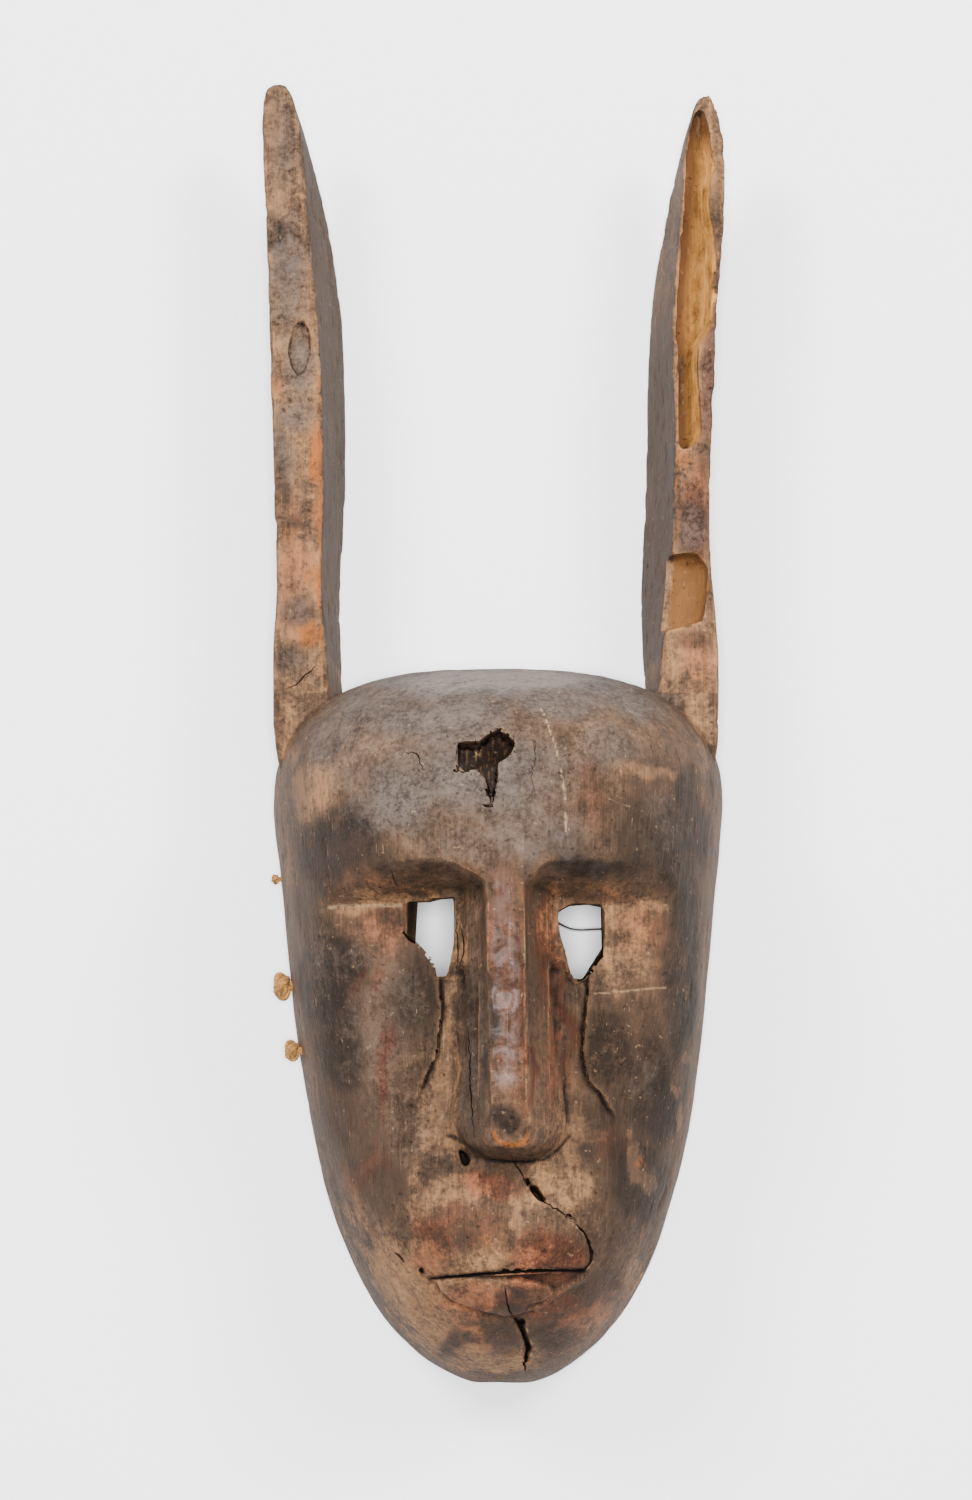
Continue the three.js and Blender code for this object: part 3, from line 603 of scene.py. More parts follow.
# Lines on the front that the carving, the cracks and the paint share
paths = {
    "leftSplit": [(-23, -107.5), (-22.2, -113.3), (-22.2, -120.9), (-23.4, -128.6), (-24.2, -135.5),
                  (-26.1, -138.5)],
    "rightSplit": [(34.8, -109.3), (33.6, -120.8), (32.8, -132.3), (34, -139.8), (35.5, -144.3)],
    "noseNick": [(-0.6, -172.2), (3.8, -173), (10.2, -172.5)],
    "cheekScratch": [(37.6, -110.7), (50.9, -109), (65.5, -106.7)],
    "lipCorner": [(21.3, -224.6), (20.3, -226.2), (16.3, -228.2), (11.3, -229)],
    "lipRidge": [(10.9, -231.9), (14.3, -230.8), (18.3, -228.8), (21.8, -226.2), (25.3, -223.8),
                 (29.3, -221.7), (32.7, -219.2), (34.7, -216.8), (36.2, -213.4)],
}
carving = {
    "grid": 0.8,  # of the fine mesh, mm
    "triangles": 186000,
    "spareFace": 0.05, "spareSides": 0.4, "spareFactor": 3.0,  # how readily triangles are given up
    "rounds": 26,  # of evening out the faces
    "spread": 0.26,  # how unlike two faces' directions may be and still be evened out
    "moves": 12,  # of the points onto the evened faces
    "rounding": 2,  # rounds of smoothing in the end
    "browRounds": 8, "browWidth": (2, 5),  # the brow's edge, along this line, is smoothed first
    "browEdge": [(-66, -69.6), (-54, -64.8), (-44, -62.8), (-30, -62.2), (-19, -63.6), (-10, -68), (9, -74),
                 (16, -65.4), (24, -62), (39, -60.6), (52, -60.4), (64, -61.4), (74, -64)],
    "swells": [(0.4, (17, 30, 17), 0), (0.22, (7, 12, 7), 3)],  # height, size and seed
    "gouges": {"height": 0.7, "size": (13, 30, 13), "seed": 5, "level": 0.6},  # tool marks in the hollow
    "strips": {  # where the surface has split off beside the nose: outer edge, foot of the nose, depth
        "left": (paths["leftSplit"] + [(-27.7, -141.5), (-31, -150)], -8, 2.0),
        "right": ([(35.5, -101.5)] + paths["rightSplit"] + [(40.2, -148.7), (46, -158)], 20, 2.2),
    },
    "stripTop": (-103, -97), "stripFade": 8, "stripGrain": (3, 14, 3),
    "lines": [  # raised (or sunk) lines: places, half width, height
        ([(-26, -221.4), (-22.4, -224.8), (-18.5, -228.2), (-12.5, -230.6), (-5.5, -232.9), (2.4, -234.6),
          (9, -233.4), (13, -231.8)], 0.9, -1.0),
        (paths["lipRidge"], 0.8, 0.9),
        ([(4.3, -186), (4.8, -193.7), (4.5, -201)], 1.6, 0.4),
        ([(-19.4, -165.3), (-15.4, -167.1), (-10.5, -170.9), (-4.3, -174.5), (-0.6, -175.5), (6.8, -176.1),
          (12.3, -176), (17.2, -175.2), (21.2, -173.4), (23.7, -170.3), (27.7, -165.2)], 0.8, -0.6),
        ([(-19, -163.4), (-13, -166.4), (-8, -170), (-3, -172.9), (3.4, -174.3), (10.8, -174), (18, -172.4),
          (24, -166)], 0.7, 0.4),
        (paths["noseNick"], 0.4, -0.35),
        ([(-0.6, -226.1), (-1.4, -228.9), (-0.6, -232)], 0.6, -0.4),
        (paths["cheekScratch"], 0.6, -0.3),
    ],
    "shapes": [  # raised (or sunk) areas: outline, softness, height
        ([(-24, -220), (-10.5, -219), (7, -218.2), (21, -217.3), (33, -216.3), (34, -218), (29, -221.5),
          (25, -223.7), (21.8, -224.8), (19.3, -222.9), (14.3, -221.8), (7.3, -220.7), (-0.6, -220.6),
          (-10.5, -220.2)], 0.6, -1.4),
        ([(-23.4, -220.5), (-10.5, -220.2), (7.3, -220.7), (14.3, -221.8), (19.3, -222.9)]
         + paths["lipCorner"] + [(9, -232.5), (2.4, -233.8), (-5.5, -232), (-12.5, -229.8), (-18.5, -227.6),
                                 (-22.4, -224.2)], 0.7, 1.0),
    ],
    "pits": [(-86, 205, 8, 26, 1), (-85, 176, 8, 12, 0.7), (-80, 133, 8, 8, 1), (-80, 60, 8, 26, 0.5),
             (76, 90, 8, 10, 0.4)],  # patches on the ears
    "bites": {  # depth, size and seed of the lumps bitten out, and from which to which level of the noise
        "pits": (1.1, (3, 4, 3), 11, 0.5, 0.72), "edges": (0.9, (4, 6, 4), 17, 0.5, 0.8),
        "all over": (0.3, (4, 5, 4), 23, 0.68, 0.85),
    },
    "hollow": {"middle": (2, 0, 20), "top": 12, "half": 84},  # its axis, upper end and half width
    "clearance": 0.02,  # to the solid's box
    # how far a point stands out of the surface smoothed this often, mm, from no edge to a full one; where it
    # sinks, from no painted shade to the full amount
    "biteRounds": 16, "biteEdge": (0.12, 0.5), "paintRounds": 18, "cavityShade": (0.12, 0.8), "edge": (0.12, 0.6),
    "sharpAngle": 38,
}


def fineMesh():  # the mask's own solid on an even grid
    rough = nodes["mask"].data.copy()
    reworked(rough, lambda bm: bmesh.ops.remove_doubles(bm, verts=bm.verts, dist=1e-6))
    source = linked("mask rough", rough)
    modifier = source.modifiers.new("even grid", "REMESH")
    modifier.mode = "VOXEL"
    modifier.voxel_size = carving["grid"] / 1000
    mesh = settled(source)
    bpy.data.objects.remove(source)
    return mesh


def wearDown(mesh, edges):  # evens out the faces and rounds the edges a little, as years of handling do
    faces = readFlat(mesh.loops, "vertex_index", 1, np.int32).reshape(-1, 4)
    points = readPoints(mesh)
    brow = (1 - step(*carving["browWidth"], alongLine(points, carving["browEdge"]))) * (points[:, 2] > 60)
    points = smoothed(points, edges, carving["browRounds"], 0.8 * brow[:, None])
    points = evened(points, faces, carving["rounds"], carving["spread"], carving["moves"])
    points = smoothed(points, edges, carving["rounding"])
    writePoints(mesh, points)
    return points


def inHollow(points, normals):  # on the walls of the hollow, which look inwards
    hollow = carving["hollow"]
    outward = points * (1, 0, 1) - hollow["middle"]
    near = (points[:, 1] < hollow["top"]) & (np.abs(points[:, 0]) < hollow["half"])
    return (np.sum(outward * normals, axis=1) < 0) & near


def bulge(points, normals, edges, rounds):  # how far a point stands out of its surroundings, mm
    return np.sum((points - smoothed(points, edges, rounds)) * normals, axis=1)


def carve(mesh, edges, points):
    normals = readNormals(mesh)
    x, y, z = points.T
    hollow = smoothed(inHollow(points, normals).astype(float)[:, None], edges, 3)[:, 0]
    front = step(0.2, 0.6, normals[:, 2]) * (z > 30) * (1 - hollow)
    depth = np.zeros(len(points))
    for height, size, seed in carving["swells"]:
        depth += (1 - hollow) * height * (noise(points, size, seed) - 0.5) * 2
    gouges = carving["gouges"]
    inside = hollow > 0.02
    scoops = np.zeros(len(points))
    scoops[inside] = gougeMarks(points[inside], gouges["size"], gouges["seed"]) - gouges["level"]
    depth += hollow * gouges["height"] * scoops
    for side, (line, foot, sunk) in carving["strips"].items():
        edge = np.array(line)[::-1]
        outer = np.interp(y, edge[:, 1], edge[:, 0])
        inner = (x > outer) & (x < foot) if side == "left" else (x < outer) & (x > foot)
        fade = step(edge[0, 1] - carving["stripFade"], edge[0, 1] + carving["stripFade"], y)
        fade = fade * (1 - step(*carving["stripTop"], y))
        ragged = 0.75 + 0.5 * noise(points, carving["stripGrain"], 8)
        depth -= sunk * front * inner * fade * ragged
    for line, half, height in carving["lines"]:
        depth += front * height * ridge(points, line, half)
    for outline, soft, height in carving["shapes"]:
        depth += front * height * within(points, outline, soft)
    stands = bulge(points, normals, edges, carving["biteRounds"])
    where = {"pits": blobs(points, carving["pits"]) * (normals[:, 2] > 0.4),
             "edges": step(*carving["biteEdge"], stands) * (1 - hollow),
             "all over": 1 - hollow}
    for name, (height, size, seed, low, high) in carving["bites"].items():
        depth -= where[name] * height * step(low, high, noise(points, size, seed))
    low, high = (np.array(corner) * 1000 - zero for corner in maskBox)
    moved = points + normals * depth[:, None]
    writePoints(mesh, np.clip(moved, low + carving["clearance"], high - carving["clearance"]))


def simplified(mesh, target, points, normals):  # most triangles stay on the face, fewest in the hollow
    source = linked("mask fine", mesh)
    group = source.vertex_groups.new(name="spare")
    hollow = inHollow(points, normals) | (normals[:, 2] < -0.5)
    face = (normals[:, 2] > 0.25) & ~hollow
    sides = ~hollow & ~face
    for which, spare in ((hollow, 1.0), (sides, carving["spareSides"]), (face, carving["spareFace"])):
        group.add([int(i) for i in np.flatnonzero(which)], spare, "REPLACE")
    modifier = source.modifiers.new("fewer", "DECIMATE")
    modifier.ratio = target / (2 * len(mesh.polygons))
    modifier.vertex_group = "spare"
    modifier.vertex_group_factor = carving["spareFactor"]
    result = settled(source)
    bpy.data.objects.remove(source)
    return result


# Cracks, cut along lines that are seen from the front
cracks = {
    "seed": 4,
    "spacing": 1.2,  # of the places along a crack
    "ends": (0.06, 0.94), "taper": 0.6,  # a crack narrows as this part of a half wave, to this power
    "unevenness": (0.65, 1.3),  # of the width, at random
    "leastDepth": 0.35,  # of the depth, at the ends
    "floor": 0.4, "flare": 1.25, "above": 1.6,  # width at the floor and the rim, and the rim's height
    "lines": [  # places, greatest width, depth, and how far the crack strays from the line
        # below the eyes, where the surface has split off
        ([(-24.4, -103.6)] + paths["leftSplit"] + [(-28.5, -143)], 0.3, 1.6, 0.3),
        ([(36.4, -100)] + paths["rightSplit"] + [(40.2, -149.5)], 0.3, 1.6, 0.3),
        # from under the nose to the corner of the mouth
        ([(4.6, -173.6), (6.4, -176.3), (8.7, -180.2), (10.4, -183)], 0.6, 2.5, 0.2),
        ([(9.6, -182.2), (11.6, -184.4), (14, -186.6), (16, -189.6), (17.8, -192)], 2.6, 9, 0.3),
        ([(17.4, -191.4), (19.5, -192.3), (23.7, -194.8), (27.6, -197), (29.6, -198.6)], 0.7, 2.4, 0.5),
        ([(26, -195.8), (28.4, -197.6)], 1.9, 5, 0.3),
        ([(30, -199.6), (32.7, -202.6), (35, -206), (36.2, -209.8), (35.8, -213.3),
          (33.2, -216.6)], 1.35, 5, 0.15),
        # down the lower lip and the chin
        ([(2.4, -223.6), (2.9, -228), (3.9, -231.6), (6.1, -234.4)], 0.8, 3, 0.2),
        ([(6, -234.4), (7.4, -235.4), (9, -235.6), (10.3, -235.2)], 1.8, 8, 0.2),
        ([(8, -236.6), (9.3, -238), (10, -240.9), (11.4, -243.6), (10.8, -246.7), (10.3, -250.2),
          (10.8, -252.6)], 1.7, 9, 0.25),
        # torn edges of the break in the forehead
        ([(-15.6, -22), (-15.6, -17.6), (-11, -17.5), (-7.2, -17.2), (-4.6, -14.6), (-0.6, -12.4),
          (2.2, -13.6), (6.4, -17.5), (3.7, -23), (-0.8, -25.5)], 1.3, 9, 0.45),
        ([(-0.8, -25.5), (-0.4, -32), (-1.4, -37), (-3.2, -43.4), (-4, -37), (-4.8, -31), (-9, -27.8),
          (-15.4, -28.8), (-18, -29), (-15.6, -28.4), (-15.6, -24)], 1.1, 9, 0.4),
        # the mouth
        ([(-26.4, -219.7), (-18, -219.4), (-11, -219.2), (-4.4, -218.5), (4.8, -217.8), (16, -217.4),
          (27.6, -216.8), (34, -216.6)], 1.5, 4, 0.06),
        # the left flank of the nose
        ([(-11.7, -124), (-11, -137.7), (-11, -147.4), (-10.2, -157.1), (-9.4, -168)], 0.6, 3, 0.15),
        # beside and below the break in the forehead
        ([(-37.6, -21.2), (-34, -20.4), (-32, -21.2), (-30.2, -23.9), (-29.4, -26.9),
          (-27.4, -27.6)], 0.6, 2.0, 0.35),
        ([(6.6, -16.4), (13.4, -16.6), (14.4, -19.5), (14, -24.6), (12.5, -30.5), (13.6, -36.3),
          (11.3, -41)], 0.4, 0.8, 0.3),
        ([(-6.2, -42.1), (-2, -42.8)], 1.4, 3, 0.2),
        # above the left eye and left of the mouth
        ([(-41.5, -64.3), (-40.4, -68.4), (-38.9, -70.9)], 0.5, 2, 0.2),
        ([(-40.4, -209.2), (-38.6, -211.4), (-36.2, -212.6)], 1.2, 3, 0.4),
        # at the inner corner of the left eye
        ([(-15, -84), (-13.7, -88.5), (-13.3, -94.4), (-14.6, -99)], 0.7, 3, 0.2),
        ([(-16.2, -80), (-16, -88), (-15.6, -96), (-16.4, -103)], 0.5, 3, 0.2),
        # the left ear's foot
        ([(-84, 17), (-79.1, 20.9), (-73, 27)], 0.7, 1.6, 0.3),
        # broken edges of the eye holes
        ([(-37.2, -86.6), (-34.7, -89.0), (-31, -91.2), (-28.2, -94), (-25.2, -98), (-24.4, -102.6),
          (-22.4, -104.8)], 1.9, 14, 0.3),
        ([(41, -92), (39.6, -96), (37.4, -98.6), (36, -101.4), (33.4, -103.6), (31, -106)], 1.8, 14, 0.35),
    ],
}


def crackPath(places, stray, random):  # places along a crack, the way across it, and its share of the width
    line = np.array(places, float)
    run = np.concatenate([[0], np.cumsum(np.linalg.norm(np.diff(line, axis=0), axis=1))])
    count = max(4, int(run[-1] / cracks["spacing"]))
    s = np.linspace(0, run[-1], count)
    spots = np.stack([np.interp(s, run, line[:, axis]) for axis in range(2)], 1)
    ahead = np.gradient(spots, axis=0)
    ahead /= np.linalg.norm(ahead, axis=1)[:, None]
    across = np.stack([-ahead[:, 1], ahead[:, 0]], 1)
    spots += across * random.normal(0, stray, count)[:, None]
    return spots, across, np.sin(np.pi * np.linspace(*cracks["ends"], count)) ** cracks["taper"]


def crackCutter(mesh):  # one closed trough for each crack
    tree = BVHTree.FromPolygons([tuple(p) for p in readPoints(mesh)],
                                [tuple(p.vertices) for p in mesh.polygons])
    random = np.random.default_rng(cracks["seed"])
    verts, faces = [], []
    for places, width, depth, stray in cracks["lines"]:
        spots, across, share = crackPath(places, stray, random)
        count = len(spots)
        half = width / 2 * share * random.uniform(*cracks["unevenness"], count)
        first = len(verts)
        for place, side, w, part in zip(spots, across, half, share):
            found = tree.ray_cast(Vector((*place, 200)), Vector((0, 0, -1)))[0]
            top = found.z if found else 0
            low, high = top - depth * max(part, cracks["leastDepth"]), top + cracks["above"]
            floor, rim = w * cracks["floor"], w * cracks["flare"]
            for offset, height in ((rim, high), (floor, low), (-floor, low), (-rim, high)):
                verts.append((*(place + side * offset), height))
        for i in range(count - 1):
            for k in range(4):
                a, b = first + 4 * i + k, first + 4 * i + (k + 1) % 4
                faces.append((a, b, b + 4, a + 4))
        faces.append(tuple(first + k for k in range(3, -1, -1)))
        faces.append(tuple(first + 4 * (count - 1) + k for k in range(4)))
    cutter = bpy.data.meshes.new("cracks")
    cutter.from_pydata([tuple((np.array(v) + zero) / 1000) for v in verts], [], faces)
    reworked(cutter, lambda bm: bmesh.ops.recalc_face_normals(bm, faces=bm.faces))
    store(cutter, "cut", np.ones(len(verts)))
    return linked("cracks", cutter)


def cutAway(target, cutter):
    store(target.data, "cut", np.zeros(len(target.data.vertices)))
    modifier = target.modifiers.new("cut", "BOOLEAN")
    modifier.object = cutter
    modifier.operation = "DIFFERENCE"
    modifier.solver = "MANIFOLD"
    mesh = settled(target)
    target.modifiers.remove(modifier)
    target.data = mesh
    bpy.data.objects.remove(cutter)


# Paint: where each finish lies, and some painted shade and light, as soft patches whose ragged edges the
# material makes
paint = {
    # the strongest dust patch, across the crown at x 0, y 14, is also painted light on the top
    "dustAndLitTop": [(-23, -7, 30.9, 13.1, 0.9), (-7, -29, 34.6, 19.2, 0.9), (-36, -38, 20, 15, 0.9),
             (12, -52, 23.1, 17.3, 0.5), (-64, -9, 11.7, 15.6, 0.6), (40, 7, 23.4, 7.8, 0.8),
             (-7, -58, 23.1, 8.5, 0.45), (-78, -39, 6.3, 15.8, 0.3), (-54, -22, 15.5, 15.5, 0.5),
             (24, 0, 19.4, 9.3, 0.8), (-17, -76, 4.7, 15.6, 0.35), (62, 14, 11.9, 7.9, 0.6),
             (-54, -116, 7.8, 8.6, 0.3), (-42, -147, 15.7, 15.7, 0.3), (55, -139, 5.5, 8.7, 0.25),
             (-67, -178, 8, 20.1, 0.3), (-50, -200, 7.9, 15.9, 0.2), (0, 14, 54, 14, 1.3),
             (-48, 4, 20, 15, 0.8), (45, 8, 22, 12, 0.9), (40, -18, 16, 11, 0.6), (63, -44, 12, 12, 0.35),
             (-9, -130, 5, 50, 0.35), (1, -150, 5, 12, 0.3), (-60, -96, 12, 12, 0.25),
             (-45, -122, 14, 34, 0.35), (-34, -160, 12, 14, 0.3), (-5, -64, 10, 6, 0.4)],
    # among the dark patches, the three thin ones along the brow's edge, at y -57 to -63, are painted shadow
    # under the brow
    "dark": [(-62, -54, 17, 14, 1.1), (-48, -63, 11.6, 4, 0.6), (55, -51, 16.3, 16.3, 0.6),
             (69, -54, 11.7, 23.5, 0.7), (43, -20, 13.9, 10.8, 0.3), (35, -62, 23.2, 4, 0.7),
             (24, -57, 10, 8, 0.5), (-66, -102, 13.4, 23.6, 0.95), (-60, -130, 10.3, 23.7, 0.75),
             (-32, -98, 9.4, 10.2, 0.5), (3, -165, 6, 5, 1.0), (-4.8, -118, 2, 46, 0.75),
             (9, -122, 2, 40, 0.5), (44, -132, 11.8, 20.4, 0.85), (73, -95, 8.7, 47.4, 0.85),
             (63, -145, 10.3, 27.7, 0.8), (55, -181, 18.2, 23.7, 0.7), (43, -201, 15.8, 15.8, 0.5),
             (39, -163, 15.7, 15.7, 0.6), (-74, -71, 7.9, 31.5, 0.5), (-54, -161, 15.8, 19.7, 0.45),
             (-44, -182, 11.8, 15.7, 0.5), (-8, -138, 5.4, 42.7, 0.55), (12, -76, 3.1, 23.3, 0.5),
             (15, -99, 3.9, 35, 0.4), (40, -223, 15.9, 11.9, 0.5), (24, -243, 13.6, 7.2, 0.6),
             (-19, -244, 5.6, 4.8, 0.7), (-42, -233, 4.8, 3.6, 0.6), (2, -75, 8.5, 11.5, 0.35),
             (60, -207, 9.7, 16.1, 0.2), (60, -30, 14, 18, 0.4), (27, -126, 5, 22, 0.45),
             (-52, -94, 12, 6, 0.3), (-34, -112, 12, 22, 0.7), (56, -150, 18, 34, 0.6),
             (76, -40, 8, 26, 0.7), (-80, -30, 6, 34, 0.5), (-66, -150, 12, 34, 0.5),
             (32, -224, 14, 10, 0.4)],
    "stain": [(-13.4, -206, 5.6, 5.6, 0.55), (-22, -204, 3.9, 5.5, 0.5), (2, -241.5, 9, 8, 0.55),
              (8, -229, 5, 5, 0.9), (1, -228, 3, 4.4, 0.7), (34, -171, 3.5, 3.5, 0.8),
              (-17.5, -240.3, 3, 3, 0.6), (-61, -55, 14, 11, 0.5), (-64, -104, 11, 20, 0.3),
              (58, -130, 10, 30, 0.2)],
    "red": [(-43, -141, 2.4, 18.1, 1), (-55, -107, 2, 10.2, 0.8), (-49, -103, 2, 8.6, 0.6),
            (-63, -112, 2, 7.9, 0.6), (18, -213, 15.7, 10.2, 0.9), (-26, -206, 8.6, 15.7, 0.7),
            (-5, -186, 14.1, 6.3, 0.8), (-14, -200, 20, 9, 0.45), (9, -118, 2.4, 46, 0.8),
            (28, -120, 4, 30, 0.6), (-11, -225, 15.7, 5.5, 0.6), (-44, -84, 13.3, 9.4, 0.5),
            (26, -117, 3.9, 19.5, 0.9), (19, -99, 5.5, 31.2, 0.7), (55, -85, 11.7, 15.7, 0.4),
            (43, -170, 9.4, 9.4, 0.5), (-11, -237, 11.9, 9.5, 0.5), (24, -231, 15.8, 10.3, 0.6),
            (-50, -175, 10.3, 9.5, 0.5), (35, -35, 5.4, 19.3, 0.5), (-61, -67, 11.7, 7.8, 0.3),
            (-34, -70, 30, 5.4, 0.3), (40, -70, 26, 5.4, 0.3), (18, -138, 5.4, 23.3, 0.6),
            (2, -110, 8, 50, 0.7), (-2, -228, 16, 5, 0.7), (-42.5, -145, 1.6, 16, 1)],
    "tan": [(48, -80, 10.2, 10.2, 0.6), (55, -93, 4.7, 13.3, 0.6), (44, -101, 7.8, 7, 0.6),
            (59, -76, 5.5, 4.7, 0.7), (-20, -142, 3.9, 31.3, 1.2), (-23, -159, 7.1, 15.7, 0.8),
            (28, -163, 10.2, 11.8, 0.6), (36, -167, 10.2, 5.5, 0.6), (-74, -30, 8.6, 15.7, 0.75),
            (59, -27, 14, 3.9, 0.7), (35, -16, 11.6, 9.3, 0.5), (-44, 11, 15.7, 5.5, 0.5),
            (-38, -76, 27.3, 2.3, 0.8), (-17, -189, 13.3, 5.5, 0.8), (5, -196, 2.7, 9.4, 1),
            (1, -214, 23.5, 6.3, 0.5), (-34, -220, 19.8, 15.8, 0.8), (-23, -236, 17.5, 9.5, 0.8),
            (-46, -215, 8.8, 15.9, 0.8), (-11, -249, 24, 5.6, 0.7), (36, -239, 16, 8.8, 0.5),
            (24, -183, 13.3, 8.6, 0.7), (18, -190, 10.2, 5.5, 0.6), (55, -176, 4, 7.9, 1),
            (54, -164, 1.6, 5.5, 0.9), (70, -151, 1.6, 8.8, 0.9), (76, -131, 1.6, 6.4, 0.6),
            (-17, -94, 3.5, 15.6, 0.7), (21, -82, 3.9, 15.6, 0.6), (39, -136, 1.6, 7.8, 0.4),
            (-48, -86, 19.6, 6.3, 0.4), (-30, -190, 5.5, 15.7, 0.5), (81, 5, 5.6, 23.9, 0.7),
            (-83, 5, 5.6, 23.9, 0.6), (-42, -71.5, 28, 4, 0.2), (45, -70.5, 26, 4, 0.2),
            (52, -98, 11, 10, 0.5), (-5, -226, 16, 5, 0.9), (-24, -250, 22, 6, 0.7), (42, -232, 12, 9, 0.6),
            (-50, -222, 10, 12, 0.9), (-55, -18, 16, 9, 0.4), (-60, -204, 9, 18, 0.7),
            (-42, -238, 12, 8, 0.7), (54, -212, 9, 16, 0.7), (36, -204, 10, 14, 0.4),
            (-31, -246, 12, 6, 0.6), (32, -247, 10, 6, 0.6)],
    "orange": [(55, -174, 3.2, 4, 0.6), (-17, -187, 7.8, 2.3, 0.45), (1, -191, 6.3, 2.3, 0.4),
               (47, -97, 6, 8, 0.35), (-50, -222, 9, 14, 0.35), (-28, -246, 12, 5, 0.25),
               (32, -108, 2, 5, 0.5), (-6, -207, 6, 4, 0.35)],
    "shine": [(1, -117, 7.7, 54, 1), (-11, -32, 23.1, 15.4, 0.6), (12, -52, 19.2, 11.5, 0.8),
              (31, -62, 15.4, 7.7, 0.8), (-26, -59, 23.1, 7.7, 0.6), (39, -194, 15.7, 15.7, 0.3),
              (47, -182, 11.8, 11.8, 0.3)],
}
# Narrow marks, as lines with a half width and a strength: dirt and painted shade in the creases, rubbed or
# scratched ridges, painted highlights down the nose's ridge, and orange wood along the edges of the nose
marks = {
    "crease": [
        ([(-27, -219.6), (-11, -219.1), (4.8, -217.7), (34, -216.4)], 1.0, 1.0),
        ([(-24, -223.4), (-18.5, -228.2), (-12.5, -230.6), (-5.5, -232.9), (2.4, -234.6),
          (9, -233.4)], 0.9, 0.5),
        ([(-19.4, -165.3), (-15.4, -167.1), (-10.5, -170.9), (-4.3, -174.5), (6.8, -176.1), (17.2, -175.2),
          (23.7, -170.3), (27.7, -165.2)], 0.8, 0.75),
        (paths["noseNick"], 0.5, 0.6),
        ([(-67, -73.6), (-50, -74), (-37, -75.4)], 0.6, 0.5), ([(42, -76), (54, -74), (66, -72)], 0.6, 0.6),
        ([(-17.6, -112), (-17.6, -160), (-12, -170)], 0.8, 0.5),
        ([(25.6, -110), (25.6, -158), (20, -169)], 0.8, 0.6),
        ([(-23, -108), (-22.2, -121), (-24.2, -135)], 0.6, 0.35),
        ([(34.8, -109), (32.8, -132), (36, -145)], 0.6, 0.45),
        # these two, just under the brow's edge, are painted shadow
        ([(-30.2, -63.6), (-11.2, -65.3), (-6.5, -69)], 1.2, 0.4),
        ([(12.4, -69), (19.5, -64.2), (41, -63.1)], 1.2, 0.4),
    ],
    "pale": [
        ([(-20.8, -110), (-21, -124), (-21.6, -138)], 0.4, 0.55),
        ([(-19, -116), (-19.4, -134), (-20, -152)], 0.4, 0.5),
        ([(30.4, -108), (30, -122), (30.4, -138)], 0.4, 0.35),
        ([(14.2, 3), (18.4, -7.6), (21.8, -18.3), (24.8, -32), (25.9, -43.6), (26, -52)], 0.4, 0.9),
        (paths["lipRidge"][::2], 0.6, 0.45), (paths["lipCorner"], 0.5, 0.4),
        ([(-66, -76), (-52, -76.2), (-38, -76.4)], 1.0, 0.7),
        ([(-23.4, -220.9), (-10.5, -220.7), (7.3, -221.2), (14.3, -222.3), (20, -224)], 0.5, 0.4),
        ([(19.2, -193.3), (25.1, -197.2), (29.1, -200), (33, -203)], 0.5, 0.5),
        ([(33.6, -202.7), (36.2, -206.4), (37.5, -210.1), (36.5, -214)], 0.5, 0.3),
        ([(5, -185), (5.2, -192), (4.6, -201)], 1.2, 0.28),
        ([(28.4, -103), (31, -112), (31.4, -122)], 0.8, 0.3),
        (paths["cheekScratch"], 0.45, 0.7),
        ([(10.9, -237.4), (11.8, -241), (12.9, -244.4), (12, -248)], 0.4, 0.9),
        ([(9.2, -245), (9.2, -250.5)], 0.4, 0.7), ([(-8.6, -18), (-8.2, -24.6)], 0.3, 1.0),
        ([(-6.8, -18), (-7.4, -23.4)], 0.3, 1.0), ([(-15, -25.4), (-11.2, -28.8)], 0.35, 1.0),
        # the three lines down the nose's ridge, at x -4, 10 and 5, are painted highlights
        ([(-3.9, -80), (-4.2, -106)], 0.4, 0.5), ([(10, -80), (10, -116), (10.6, -160)], 0.5, 0.5),
        ([(5, -70), (4.4, -88), (3.6, -112), (3, -150)], 0.4, 0.4), ([(-83, 34), (-78, 40)], 0.5, 0.4),
        ([(-30, -13), (-37, -22)], 0.35, 0.5), ([(42, -38), (54, -41)], 0.35, 0.5),
    ],
    "orange": [
        ([(-1.8, -166.6), (-0.1, -170), (3.3, -171.4), (7.7, -171.4), (10.4, -169.5), (11, -167)], 1.4, 0.9),
        ([(-2.3, -158), (-1.8, -167)], 0.9, 0.5), ([(11, -150), (11, -167)], 0.8, 0.5),
        ([(9.6, -84), (9.8, -120), (10.8, -152)], 0.8, 0.55), ([(-4.6, -92), (-4.2, -118)], 1.0, 0.6),
    ],
}
